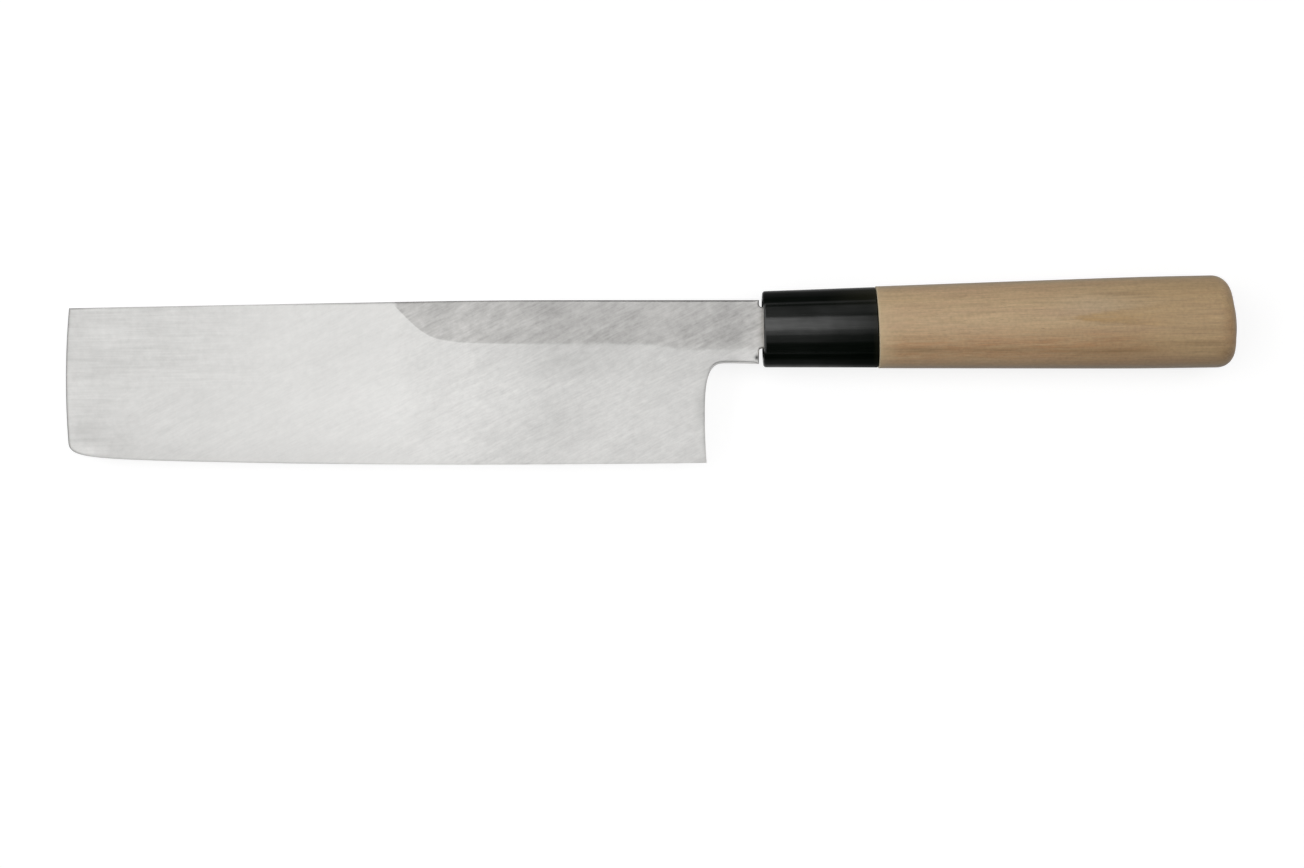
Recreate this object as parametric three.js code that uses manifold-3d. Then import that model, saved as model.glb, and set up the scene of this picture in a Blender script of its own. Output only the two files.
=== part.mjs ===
// Usuba: a tall, thin vegetable knife with a single bevel, a stick tang, a horn ferrule and an oval handle.
// Millimetres and degrees. The knife lies on its back with the bevel up (+z), the tip towards -x and the
// spine towards +y. While it is built, x = 0 is the ferrule's mouth, y = 0 is the handle's axis at the mouth
// and z = 0 is the flat back of the blade.

import * as THREE from "three";
import { mergeVertices } from "three/addons/utils/BufferGeometryUtils.js";
import Module from "manifold-3d";

// Blade outline
const bladeLength = 180.4;
const neckLength = 14.6;
const shoulderGap = 1.15;
const spineAboveAxis = 8.2;
const spineBendFromMouth = 76;
const spineBendBlend = 16;
const spineTipAngle = 1.1;
const edgeBelowAxis = 38.1;
const edgeLowFromHeel = 72;
const edgeRadiusToTip = 3000;
const edgeRadiusToHeel = 5200;
const tipEndRadius = 224;
const tipApexBelowAxis = 15.7;
const tipCornerRun = 34;
const tipCornerRise = 5.9;
const tipCornerTightness = 0.9;
const heelRecess = 0.55;
const neckDepthBelowAxis = 9.55;
const neckFlare = 0.25;
const neckCornerRun = 6;
const neckCornerRise = 14.4;
const neckCornerFullness = 3;

// Blade thickness and grind
const shoulderThickness = 3.4;
const tipThickness = 1.7;
const edgeThickness = 0.15;
const spineChamfer = 0.3;
const ridgeBelowAxis = 4.5;
const ridgeHeelDrop = 1.5;
const ridgeHeelDropNear = 18;
const ridgeHeelDropFar = 36;
const ridgeRunOutFromMouth = 94.6;
const ridgeRunOutSlope = 1.15;
const ridgeRunOutBlend = 5.4;
const ridgeLeastFlat = 0.15;
const hollowDepth = 0.35;
const hollowSpineLand = 5;
const hollowEdgeLand = 1.5;
const hollowTipLand = 4;
const hollowHeelLand = 6;
const hollowFade = 12;
const hardSteelHeelThickness = 0.95;
const hardSteelTipThickness = 0.48;
const hardSteelPastHeel = 8;

// Tang
const tangLength = 96;
const tangRootHeight = 11.6;
const tangRootRise = 0.4;
const tangEndHeight = 5;
const tangRootThickness = 3.1;
const tangEndThickness = 2;
const tangCornerChamfer = 0.35;
const tangEndTaper = 4;
const tangEndBluntness = 0.5;
const tangRootFillet = 0.8;

// Handle and ferrule
const handleCant = 1;
const ferruleLength = 31.8;
const woodLength = 101.2;
const jointRake = 1.5;
const handleFrontHeight = 21.4;
const handleFullHeight = 25.55;
const handleFrontWidth = 17.6;
const handleFullWidth = 20.8;
const handleSwellFromMouth = 108;
const handleSwellBlend = 10;
const ovalFullness = 2.15;
const ferruleEdgeRadius = 0.75;
const woodEdgeRadius = 0.3;
const woodProud = 0.2;
const buttEdgeRadius = 5;
const buttCrown = 1.2;
const buttRake = 3.2;
const tenonHeight = 16.2;
const tenonWidth = 12.2;
const tenonRecess = 0.4;

// Fits
const weldClearance = 0.02;
const glueLine = 0.2;
const tenonClearance = 0.15;
const tangClearance = 0.3;
const tangEndClearance = 2;

// Fineness of the shapes, and how far a cutter runs past what it cuts
const bladeStep = 2.5;
const handleStep = 10;
const bevelStrips = 3;
const hollowStrips = 8;
const cornerSteps = 12;
const ovalSides = 48;
const roundSteps = 6;
const overrun = 3;
const edgeOverrun = 0.3;

const wasm = await Module();
wasm.setup();

const tangentOf = (degrees) => Math.tan(THREE.MathUtils.degToRad(degrees));

// Nought before zero and one in one after it, with a round bend of the given length in between
const softRamp = (distance, blend) => (distance + Math.hypot(distance, blend)) / 2;

// Places along the knife
const shoulderX = -shoulderGap;
const heelX = shoulderX - neckLength;
const tipX = heelX - bladeLength;
const axisZ = shoulderThickness / 2;
const axisSlope = tangentOf(handleCant);

// Turns a geometry into a solid for joining and cutting.
function solidOf(geometry) {
  const bare = new THREE.BufferGeometry();
  const loose = geometry.index ? geometry.toNonIndexed() : geometry;
  bare.setAttribute("position", loose.getAttribute("position"));
  const merged = mergeVertices(bare, 1e-4);
  const vertProperties = merged.getAttribute("position").array;
  const triVerts = new Uint32Array(merged.index.array);
  return new wasm.Manifold(new wasm.Mesh({ numProp: 3, vertProperties, triVerts }));
}

// Turns a finished solid into a named mesh.
function meshOf(name, solid, colour, roughness, metalness) {
  const cut = solid.getMesh();
  const geometry = new THREE.BufferGeometry();
  geometry.setAttribute("position", new THREE.BufferAttribute(cut.vertProperties, 3));
  geometry.setIndex(new THREE.BufferAttribute(cut.triVerts, 1));
  geometry.computeVertexNormals();
  const material = new THREE.MeshStandardMaterial({ color: colour, roughness, metalness });
  const mesh = new THREE.Mesh(geometry, material);
  mesh.name = name;
  return mesh;
}

// Skins a row of closed rings that run along +x, each with the same number of points, and closes both ends
// with a fan about the ring's middle. Seen from +x, a ring runs anticlockwise from +y to +z.
function loft(rings) {
  const count = rings[0].length;
  const points = rings.flat();
  const indices = [];
  for (let row = 0; row + 1 < rings.length; row++) {
    for (let i = 0; i < count; i++) {
      const here = row * count + i;
      const next = row * count + ((i + 1) % count);
      indices.push(here, next, next + count, here, next + count, here + count);
    }
  }
  const lastRow = (rings.length - 1) * count;
  for (const [row, start, outward] of [[0, 0, -1], [rings.length - 1, lastRow, 1]]) {
    const middle = new THREE.Vector3();
    rings[row].forEach((point) => middle.add(point));
    const centre = points.push(middle.divideScalar(count)) - 1;
    for (let i = 0; i < count; i++) {
      const here = start + i;
      const next = start + ((i + 1) % count);
      indices.push(centre, outward > 0 ? here : next, outward > 0 ? next : here);
    }
  }
  return new THREE.BufferGeometry().setFromPoints(points).setIndex(indices);
}

// Heights of the spine, the edge and the ridge line, and the flat's thickness, at a place along the blade
function spineY(x) {
  return spineAboveAxis - tangentOf(spineTipAngle) * softRamp(-x - spineBendFromMouth, spineBendBlend);
}

function edgeY(x) {
  const towardsTip = heelX - edgeLowFromHeel - x;
  const radius = towardsTip > 0 ? edgeRadiusToTip : edgeRadiusToHeel;
  return (towardsTip * towardsTip) / (2 * radius) - edgeBelowAxis;
}

function ridgeY(x) {
  const heelDrop = ridgeHeelDrop * (1 - THREE.MathUtils.smoothstep(-x, ridgeHeelDropNear, ridgeHeelDropFar));
  const rise = ridgeRunOutSlope * softRamp(-x - ridgeRunOutFromMouth, ridgeRunOutBlend);
  const highest = spineY(x) - spineChamfer - ridgeLeastFlat;
  return Math.min(rise - ridgeBelowAxis - heelDrop, highest);
}

function flatThickness(x) {
  return THREE.MathUtils.mapLinear(x, shoulderX, tipX, shoulderThickness, tipThickness);
}

// One section across the blade: the hollowed back, the chamfered spine, the flat and the bevel below the
// ridge line. It runs a little past the edge, where the outline trims it.
function bladeSection(x) {
  const spine = spineY(x);
  const edge = edgeY(x);
  const ridge = ridgeY(x);
  const thickness = flatThickness(x);
  const bevelSlope = (thickness - edgeThickness) / (ridge - edge);
  const bottom = edge - edgeOverrun;
  const fromTip = THREE.MathUtils.smoothstep(x - tipX, hollowTipLand, hollowTipLand + hollowFade);
  const fromHeel = THREE.MathUtils.smoothstep(heelX - x, hollowHeelLand, hollowHeelLand + hollowFade);
  const ring = [
    [spine - spineChamfer, thickness],
    [ridge, thickness],
  ];
  for (let i = 1; i <= bevelStrips; i++) {
    const y = THREE.MathUtils.lerp(ridge, bottom, i / bevelStrips);
    ring.push([y, thickness - bevelSlope * (ridge - y)]);
  }
  ring.push([bottom, 0]);
  for (let i = 0; i <= hollowStrips; i++) {
    const share = i / hollowStrips;
    const y = THREE.MathUtils.lerp(edge + hollowEdgeLand, spine - hollowSpineLand, share);
    ring.push([y, hollowDepth * fromTip * fromHeel * 4 * share * (1 - share)]);
  }
  ring.push([spine - spineChamfer, 0], [spine, spineChamfer], [spine, thickness - spineChamfer]);
  return ring.map(([y, z]) => new THREE.Vector3(x, y, z));
}

// Places along a stretch, evenly spaced at no more than the given step
function placesAlong(from, to, step) {
  const count = Math.ceil(Math.abs(to - from) / step);
  return Array.from({ length: count + 1 }, (_, i) => THREE.MathUtils.lerp(from, to, i / count));
}

// The ground bar that the blade is cut from
function groundBar() {
  const places = placesAlong(tipX - overrun, shoulderX, bladeStep);
  return solidOf(loft(places.map(bladeSection)));
}

// The outline of the blade and neck, seen from the bevel side. The spine is left to the ground bar, so the
// outline runs past it there.
function bladeOutline() {
  const top = spineAboveAxis + overrun;
  const tipEndX = (y) => tipX + (y + tipApexBelowAxis) ** 2 / (2 * tipEndRadius);
  const cornerEnd = new THREE.Vector2(tipX + tipCornerRun, edgeY(tipX + tipCornerRun));
  const cornerTop = new THREE.Vector2(0, cornerEnd.y + tipCornerRise);
  cornerTop.x = tipEndX(cornerTop.y);
  const edgeSlope = (heelX - edgeLowFromHeel - cornerEnd.x) / edgeRadiusToTip;
  const corner = new THREE.Vector2(cornerTop.x, cornerEnd.y + edgeSlope * (cornerEnd.x - cornerTop.x));
  const fromTop = cornerTop.clone().lerp(corner, tipCornerTightness);
  const fromEnd = cornerEnd.clone().lerp(corner, tipCornerTightness);
  const heelFaceX = heelX - heelRecess;
  const heelY = edgeY(heelX);
  const neckX = heelFaceX + neckCornerRun;
  const neckCornerY = -neckDepthBelowAxis - neckCornerRise;
  const shoulderY = -neckDepthBelowAxis - neckFlare;
  const neckRound = (value) => value ** (2 / neckCornerFullness);
  const shape = new THREE.Shape();
  shape.moveTo(shoulderX, top);
  for (const y of placesAlong(top, cornerTop.y, bladeStep)) {
    shape.lineTo(tipEndX(y), y);
  }
  shape.bezierCurveTo(fromTop.x, fromTop.y, fromEnd.x, fromEnd.y, cornerEnd.x, cornerEnd.y);
  for (const x of placesAlong(cornerEnd.x, heelX, bladeStep).slice(1)) {
    shape.lineTo(x, edgeY(x));
  }
  shape.quadraticCurveTo(heelFaceX, (heelY + neckCornerY) / 2, heelFaceX, neckCornerY);
  for (let i = 1; i <= cornerSteps; i++) {
    const turn = (i / cornerSteps) * (Math.PI / 2);
    const along = neckCornerRun * (1 - neckRound(Math.cos(turn)));
    shape.lineTo(heelFaceX + along, neckCornerY + neckCornerRise * neckRound(Math.sin(turn)));
  }
  shape.quadraticCurveTo((neckX + shoulderX) / 2, -neckDepthBelowAxis, shoulderX, shoulderY);
  shape.closePath();
  return shape;
}

// The outline as a plate thick enough to cut the whole bar
function outlinePlate() {
  const depth = shoulderThickness + 2 * overrun;
  const options = { depth, bevelEnabled: false, curveSegments: cornerSteps };
  const plate = new THREE.ExtrudeGeometry(bladeOutline(), options);
  return solidOf(plate.translate(0, 0, -overrun));
}

// A rectangular ring with chamfered corners, a rise above the handle's canted axis
function tangRing(x, rise, height, thickness, chamfer) {
  const halfHeight = height / 2;
  const halfThickness = thickness / 2;
  const quarter = [
    [halfHeight, halfThickness - chamfer],
    [halfHeight - chamfer, halfThickness],
  ];
  const half = [...quarter, ...quarter.map(([y, z]) => [-y, z]).reverse()];
  const ring = [...half, ...half.map(([y, z]) => [-y, -z])];
  return ring.map(([y, z]) => new THREE.Vector3(x, axisSlope * x + rise + y, axisZ + z));
}

// The stick tang, grown by a clearance on every side when it is used to cut its slot. It is rooted inside the
// neck, flares into the shoulders and comes to a blunt end.
function tangBar(clearance, endClearance) {
  const endX = tangLength + endClearance;
  const taperX = endX - tangEndTaper;
  const grown = 2 * clearance;
  const rings = [];
  const add = (x, flare, shrink) => {
    const share = (x - shoulderX) / (tangLength - shoulderX);
    const height = THREE.MathUtils.lerp(tangRootHeight, tangEndHeight, share) * shrink;
    const thickness = THREE.MathUtils.lerp(tangRootThickness, tangEndThickness, share) * shrink;
    const rise = THREE.MathUtils.lerp(tangRootRise, 0, share);
    rings.push(tangRing(x, rise, height + 2 * flare + grown, thickness + grown, tangCornerChamfer));
  };
  add(shoulderX - overrun, tangRootFillet, 1);
  for (let i = 0; i <= roundSteps; i++) {
    const turn = (i / roundSteps) * (Math.PI / 2);
    add(shoulderX + tangRootFillet * (1 - Math.cos(turn)), tangRootFillet * (1 - Math.sin(turn)), 1);
  }
  add(taperX, 0, 1);
  for (let i = 1; i <= roundSteps; i++) {
    const share = i / roundSteps;
    add(taperX + tangEndTaper * share, 0, 1 - (1 - tangEndBluntness) * share ** 2);
  }
  return loft(rings);
}

// Half sizes of the handle's oval at a distance from the ferrule's mouth: a straight taper that levels off
function handleHalves(along) {
  const narrowing = softRamp(handleSwellFromMouth - along, handleSwellBlend);
  const share = narrowing / softRamp(handleSwellFromMouth, handleSwellBlend);
  return [
    THREE.MathUtils.lerp(handleFullHeight, handleFrontHeight, share) / 2,
    THREE.MathUtils.lerp(handleFullWidth, handleFrontWidth, share) / 2,
  ];
}

// One oval ring across the handle's own axis, leaning by the given slope
function ovalRing(along, halfHeight, halfWidth, lean) {
  const round = (value) => Math.sign(value) * Math.abs(value) ** (2 / ovalFullness);
  return Array.from({ length: ovalSides }, (_, i) => {
    const turn = (i / ovalSides) * 2 * Math.PI;
    const y = halfHeight * round(Math.cos(turn));
    return new THREE.Vector3(along - lean * y, y, halfWidth * round(Math.sin(turn)));
  });
}

// A ring of the handle's outside, moved in from the full oval, or out where the inset is below nought
function skinRing(along, inset, lean) {
  const [halfHeight, halfWidth] = handleHalves(along);
  return ovalRing(along, halfHeight - inset, halfWidth - inset, lean);
}

// Rings of an edge that is rounded from an end face back to the full oval
function roundedStart(along, radius, inset, lean) {
  return Array.from({ length: roundSteps + 1 }, (_, i) => {
    const turn = (i / roundSteps) * (Math.PI / 2);
    return skinRing(along + radius * (1 - Math.cos(turn)), inset + radius * (1 - Math.sin(turn)), lean);
  });
}

// The bore and the tenon are the same oval bar, apart by the clearance.
function tenonBar(from, to, clearance) {
  const halfHeight = tenonHeight / 2 + clearance;
  const halfWidth = tenonWidth / 2 + clearance;
  return solidOf(loft([from, to].map((along) => ovalRing(along, halfHeight, halfWidth, 0))));
}

// The ferrule: square in front, and cut at the joint's slight rake behind
function ferruleSolid() {
  const back = skinRing(ferruleLength, 0, tangentOf(jointRake));
  const rings = [...roundedStart(0, ferruleEdgeRadius, 0, 0), back];
  return solidOf(loft(rings)).subtract(tenonBar(-overrun, ferruleLength + overrun, tenonClearance));
}

// The wood: a taper with a rounded front edge that stands a little proud of the ferrule, and a butt that is
// rounded, crowned and cut at a slight rake
function handleSolid(tangSlot) {
  const front = ferruleLength + glueLine;
  const buttX = ferruleLength + woodLength;
  const crownX = buttX - buttCrown;
  const roundX = crownX - buttEdgeRadius;
  const rake = tangentOf(buttRake);
  const rings = roundedStart(front, woodEdgeRadius, -woodProud, tangentOf(jointRake));
  const body = placesAlong(front + woodEdgeRadius, roundX, handleStep).slice(1, -1);
  body.forEach((along) => rings.push(skinRing(along, -woodProud, 0)));
  const [halfHeight, halfWidth] = handleHalves(roundX).map((half) => half + woodProud);
  for (let i = 0; i <= roundSteps; i++) {
    const turn = (i / roundSteps) * (Math.PI / 2);
    const inset = buttEdgeRadius * (1 - Math.cos(turn));
    const along = roundX + buttEdgeRadius * Math.sin(turn);
    rings.push(ovalRing(along, halfHeight - inset, halfWidth - inset, rake));
  }
  for (let i = 1; i < roundSteps; i++) {
    const left = 1 - i / roundSteps;
    const along = buttX - buttCrown * left ** 2;
    const faceHeight = (halfHeight - buttEdgeRadius) * left;
    const faceWidth = (halfWidth - buttEdgeRadius) * left;
    rings.push(ovalRing(along, faceHeight, faceWidth, rake));
  }
  const tenon = tenonBar(tenonRecess, front + overrun, 0);
  return solidOf(loft(rings)).add(tenon).subtract(tangSlot);
}

// The wedge that parts the hard steel from the soft iron. It thins towards the tip as the blade does, and
// stops in the neck.
function hardSteelWedge(clearance) {
  const endX = heelX + hardSteelPastHeel;
  const top = spineAboveAxis + overrun;
  const bottom = -edgeBelowAxis - overrun;
  const rings = [tipX - overrun, endX - clearance].map((x) => {
    const weld = THREE.MathUtils.mapLinear(x, heelX, tipX, hardSteelHeelThickness, hardSteelTipThickness);
    const face = weld - clearance;
    const corners = [[top, -overrun], [top, face], [bottom, face], [bottom, -overrun]];
    return corners.map(([y, z]) => new THREE.Vector3(x, y, z));
  });
  return solidOf(loft(rings));
}

const blade = groundBar().intersect(outlinePlate()).add(solidOf(tangBar(0, 0)));

const handleGroup = new THREE.Group();
handleGroup.position.set(0, 0, axisZ);
handleGroup.rotation.z = THREE.MathUtils.degToRad(handleCant);
handleGroup.updateMatrix();
const intoHandle = handleGroup.matrix.clone().invert();
const tangSlot = solidOf(tangBar(tangClearance, tangEndClearance).applyMatrix4(intoHandle));
handleGroup.add(
  meshOf("horn_ferrule", ferruleSolid(), 0x1b1b1a, 0.25, 0),
  meshOf("magnolia_handle", handleSolid(tangSlot), 0xaf9678, 0.6, 0),
);

const knife = new THREE.Group();
knife.add(
  meshOf("soft_iron_blade", blade.subtract(hardSteelWedge(0)), 0xc9c8c6, 0.35, 1),
  meshOf("hard_steel_layer", blade.intersect(hardSteelWedge(weldClearance)), 0xd6d5d2, 0.3, 1),
  handleGroup,
);

// The finished knife stands on the middle of its box's underside.
const bounds = new THREE.Box3().setFromObject(knife, true);
const centre = bounds.getCenter(new THREE.Vector3());
knife.position.set(-centre.x, -centre.y, -bounds.min.z);

const usuba = new THREE.Group();
usuba.add(knife);

export default usuba;
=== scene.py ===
# %% [markdown]
# # Dressing a usuba
# A usuba is a tall, thin knife for vegetables. Its blade is soft iron with a layer of hard steel welded
# to the back, ground to one wide bevel. A stick tang runs into a magnolia handle through a ring of black
# horn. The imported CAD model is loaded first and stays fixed: it says how big everything is and where it
# lies, in metres, with the tip towards -X, the spine towards +Y and the bevel facing +Z.

# %% Load the frame
import math

import bpy
import numpy as np
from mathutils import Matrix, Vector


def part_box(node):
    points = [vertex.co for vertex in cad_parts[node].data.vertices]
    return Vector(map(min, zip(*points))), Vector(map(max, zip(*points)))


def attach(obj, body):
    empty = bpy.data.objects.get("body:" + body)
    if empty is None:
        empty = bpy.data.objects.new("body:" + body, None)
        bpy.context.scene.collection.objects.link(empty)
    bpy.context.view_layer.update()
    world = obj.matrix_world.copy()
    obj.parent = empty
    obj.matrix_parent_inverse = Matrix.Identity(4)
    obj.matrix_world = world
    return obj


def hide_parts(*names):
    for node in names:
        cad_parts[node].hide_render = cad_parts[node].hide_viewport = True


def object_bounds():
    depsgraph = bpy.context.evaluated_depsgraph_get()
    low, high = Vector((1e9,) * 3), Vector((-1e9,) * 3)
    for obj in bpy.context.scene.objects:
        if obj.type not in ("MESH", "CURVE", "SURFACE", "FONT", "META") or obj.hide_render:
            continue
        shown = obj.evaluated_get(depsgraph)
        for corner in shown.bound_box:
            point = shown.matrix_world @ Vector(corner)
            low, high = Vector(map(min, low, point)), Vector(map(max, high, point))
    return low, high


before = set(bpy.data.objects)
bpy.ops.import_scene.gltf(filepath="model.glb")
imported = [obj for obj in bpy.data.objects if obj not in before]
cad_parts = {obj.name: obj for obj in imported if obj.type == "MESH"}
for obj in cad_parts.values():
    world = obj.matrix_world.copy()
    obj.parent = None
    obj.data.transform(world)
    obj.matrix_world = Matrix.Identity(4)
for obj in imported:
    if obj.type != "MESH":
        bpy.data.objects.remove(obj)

cad_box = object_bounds()
print("CAD box in metres:", [[round(v, 4) for v in corner] for corner in cad_box])

# %% [markdown]
# ## A maker's frame
# A knife maker measures from the mouth of the ferrule and the axis of the handle, in millimetres. All the
# formulas below are written that way. The box of the hard steel tells where that point lies in the CAD
# frame: its left end is the tip, its lowest side the edge, and its underside the flat back of the blade.

# %% Find the maker's frame
MM = 0.001
BLADE_LENGTH = 180.4
NECK_LENGTH = 14.6
SHOULDER_GAP = 1.15
EDGE_DEPTH = 38.1

SHOULDER_X = -SHOULDER_GAP
HEEL_X = SHOULDER_X - NECK_LENGTH
TIP_X = HEEL_X - BLADE_LENGTH
back_corner = np.array(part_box("hard_steel_layer")[0]) / MM
mouth = back_corner + np.array([-TIP_X, EDGE_DEPTH, 0.0])
print("Ferrule's mouth in the CAD frame, in mm:", mouth.round(2))


def to_frame(points):
    """Maker's millimetres to the CAD frame's metres: add the mouth's place, then scale."""
    return (np.asarray(points) + mouth) * MM


# %% [markdown]
# ## Helpers for surfaces
# Every new piece is a grid of points worked out at once with numpy. Four small helpers are enough: one
# spaces the grid lines, one bends a straight line without a kink, one is a soft step from 0 to 1, and one
# turns a finished grid into a Blender object that stands for a CAD node.

# %% Spacing, bending and making a piece
def crowded(count, start=1.0, stop=1.0):
    """Shares from 0 to 1: u^start / (u^start + (1-u)^stop). A power above 1 crowds that end."""
    u = np.linspace(0.0, 1.0, count)
    return u**start / (u**start + (1.0 - u)**stop)


def soft_ramp(distance, blend):
    """Half of the distance plus its hypotenuse with the blend: 0 at first, then slope 1, round between."""
    return (distance + np.hypot(distance, blend)) / 2.0


def smooth_step(value, low, high):
    """0 below low, 1 above high, and 3t^2 - 2t^3 between them."""
    t = np.clip((value - low) / (high - low), 0.0, 1.0)
    return t * t * (3.0 - 2.0 * t)


def make_piece(name, points, faces, node, sharp_angle=40.0):
    """A smooth-shaded object at the origin, with creases kept where faces meet at more than the angle."""
    mesh = bpy.data.meshes.new(name)
    mesh.from_pydata(to_frame(points).tolist(), [], faces)
    mesh.polygons.foreach_set("use_smooth", np.ones(len(mesh.polygons), dtype=bool))
    mesh.set_sharp_from_angle(angle=math.radians(sharp_angle))
    piece = bpy.data.objects.new(name, mesh)
    bpy.context.scene.collection.objects.link(piece)
    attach(piece, "root")
    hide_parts(node)
    print(f"{name}: {len(mesh.vertices)} points, {len(mesh.polygons)} faces")
    return piece


# %% [markdown]
# ## The lines of the blade
# Four lines make a usuba: the spine, straight from the neck and then dipping towards the tip; the edge,
# almost straight with a slow belly; the ridge, where the flat side ends and the bevel starts, which runs
# out to the spine half way along; and the weld between iron and hard steel. Each is a height over the
# length, so each can be a short formula, and the grid is later hung between them. That keeps the ridge on
# a grid line, where it stays crisp.

# %% Spine, edge, ridge and weld as formulas
SPINE_HEIGHT = 8.2
SPINE_BEND = (76.0, 16.0, math.tan(math.radians(1.1)))
EDGE_LOW_FROM_HEEL = 72.0
EDGE_RADII = (3000.0, 5200.0)
RIDGE_DEPTH = 4.5
RIDGE_HEEL_DROP = (1.5, 18.0, 36.0)
RIDGE_RUN_OUT = (94.6, 5.4, 1.15)
LEAST_FLAT = 0.45
SHOULDER_THICKNESS = 3.4
TIP_THICKNESS = 1.7
EDGE_THICKNESS = 0.15
WELD_HEIGHTS = (0.95, 0.48)


def spine_y(x):
    """The spine's height, less a soft ramp that dips towards the tip."""
    bend, blend, slope = SPINE_BEND
    return SPINE_HEIGHT - slope * soft_ramp(-x - bend, blend)


def edge_y(x):
    """A shallow parabola about the lowest point, flatter towards the heel than towards the tip."""
    away = HEEL_X - EDGE_LOW_FROM_HEEL - x
    radius = np.where(away > 0.0, *EDGE_RADII)
    return away**2 / (2.0 * radius) - EDGE_DEPTH


def ridge_y(x):
    """A level line that drops near the heel and ramps up to the spine, where it stops just below the top."""
    drop, near, far = RIDGE_HEEL_DROP
    start, blend, slope = RIDGE_RUN_OUT
    free = slope * soft_ramp(-x - start, blend) - RIDGE_DEPTH - drop * (1.0 - smooth_step(-x, near, far))
    return np.minimum(free, spine_y(x) - LEAST_FLAT)


def along_blade(x, at_heel, at_tip, start=HEEL_X):
    """A straight taper from a start place to the tip."""
    return at_heel + (at_tip - at_heel) * (x - start) / (TIP_X - start)


def flat_z(x):
    """The height of the flat above the back: thickest at the shoulder, thinnest at the tip."""
    return along_blade(x, SHOULDER_THICKNESS, TIP_THICKNESS, SHOULDER_X)


def bevel_slope(x):
    """How much the bevel falls for each millimetre from the ridge to the edge."""
    return (flat_z(x) - EDGE_THICKNESS) / (ridge_y(x) - edge_y(x))


def weld_z(x):
    """The height of the weld above the back."""
    return along_blade(x, *WELD_HEIGHTS)


def weld_y(x):
    """Where the weld comes out on the bevel: the height at which the bevel is as thick as the hard steel."""
    return edge_y(x) + (weld_z(x) - EDGE_THICKNESS) / bevel_slope(x)


print("Blade height at the heel:", round(float(spine_y(HEEL_X) - edge_y(HEEL_X)), 2), "mm")

# %% [markdown]
# ## The blade's grid seen from above
# One grid covers blade, neck and tang. Its columns run from the underside up to the spine. At the tip
# they lean into the bowed end and start on the rounded corner; at the heel they lean into the hollowed
# heel face. Behind the heel only the upper rows go on, starting on the round corner under the neck, and
# behind the shoulders the rows of the tang. A mask says which cells exist. The other way, cutting the
# outline out of a finished block with booleans, leaves long thin faces that shade badly.

# %% Columns: underside of the blade, the neck and the tang
TIP_END_RADIUS = 224.0
TIP_APEX = -15.7
TIP_CORNER = (34.0, 5.9, 0.9)
TIP_LEAN = 25.0
HEEL_RECESS = 0.55
HEEL_LEAN = 20.0
NECK_DEPTH = 9.55
NECK_FLARE = 0.25
NECK_CORNER = (6.0, 14.4, 3.0)
TANG_LENGTH = 96.0
TANG_RISE = 0.4
TANG_HEIGHTS = (11.6, 5.0)
TANG_THICKNESSES = (3.1, 2.0)
TANG_FILLET = 0.8
TANG_BLEND = 8.0
TANG_END = (4.0, 0.5)
HANDLE_CANT = math.radians(1.0)

heel_face_x = HEEL_X - HEEL_RECESS
neck_start_x = heel_face_x + NECK_CORNER[0]
notch_y = -NECK_DEPTH - NECK_CORNER[1]


def tip_bow(y):
    """How far the bowed tip end stands back at a height: a parabola about its apex."""
    return (y - TIP_APEX) ** 2 / (2.0 * TIP_END_RADIUS)


def tip_corner(count):
    """The rounded lower corner as a cubic curve, from the tip end round to the edge and its slope there."""
    run, rise, tightness = TIP_CORNER
    end = np.array([TIP_X + run, edge_y(TIP_X + run)])
    top = np.array([TIP_X + tip_bow(end[1] + rise), end[1] + rise])
    edge_slope = (HEEL_X - EDGE_LOW_FROM_HEEL - end[0]) / EDGE_RADII[0]
    corner = np.array([top[0], end[1] + edge_slope * (end[0] - top[0])])
    handles = (top, top + tightness * (corner - top), end + tightness * (corner - end), end)
    t = np.linspace(0.0, 1.0, count)[:, None]
    weights = ((1 - t) ** 3, 3 * t * (1 - t) ** 2, 3 * t**2 * (1 - t), t**3)
    return sum(weight * handle for weight, handle in zip(weights, handles))


def neck_underside(x):
    """A quarter of a superellipse rising from the heel face, then a line that bends down to the shoulder."""
    run, rise, fullness = NECK_CORNER
    away = np.clip((neck_start_x - x) / run, 0.0, 1.0)
    past = np.clip((x - neck_start_x) / (SHOULDER_X - neck_start_x), 0.0, 1.0)
    return notch_y + rise * (1.0 - away**fullness) ** (1.0 / fullness) - NECK_FLARE * past**2


corner_part = tip_corner(60)
bevel_x = np.concatenate([
    np.linspace(corner_part[-1, 0], HEEL_X - 8.0, 136)[1:],
    HEEL_X - 8.0 + 8.0 * crowded(18, 1.0, 2.2)[1:],
])
corner_turn = math.pi / 2 * np.linspace(0.0, 1.0, 29)[1:] ** 1.2
neck_x = np.concatenate([
    neck_start_x - NECK_CORNER[0] * np.cos(corner_turn) ** (2.0 / NECK_CORNER[2]),
    neck_start_x + (SHOULDER_X - neck_start_x) * crowded(18, 1.0, 2.2)[1:],
])
root_turn = np.linspace(0.0, math.pi / 2, 9)[1:]
taper_x = TANG_LENGTH - TANG_END[0]
tang_x = np.concatenate([
    SHOULDER_X + TANG_FILLET * (1.0 - np.cos(root_turn)),
    np.linspace(SHOULDER_X + TANG_FILLET, taper_x, 26)[1:],
    np.linspace(taper_x, TANG_LENGTH, 8)[1:],
])
blade_x = np.concatenate([corner_part[:, 0], bevel_x])
column_x = np.concatenate([blade_x, neck_x, tang_x])
heel_column = len(blade_x) - 1
shoulder_column = heel_column + len(neck_x)
print("Columns:", len(column_x), "heel at", heel_column, "shoulder at", shoulder_column)

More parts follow.
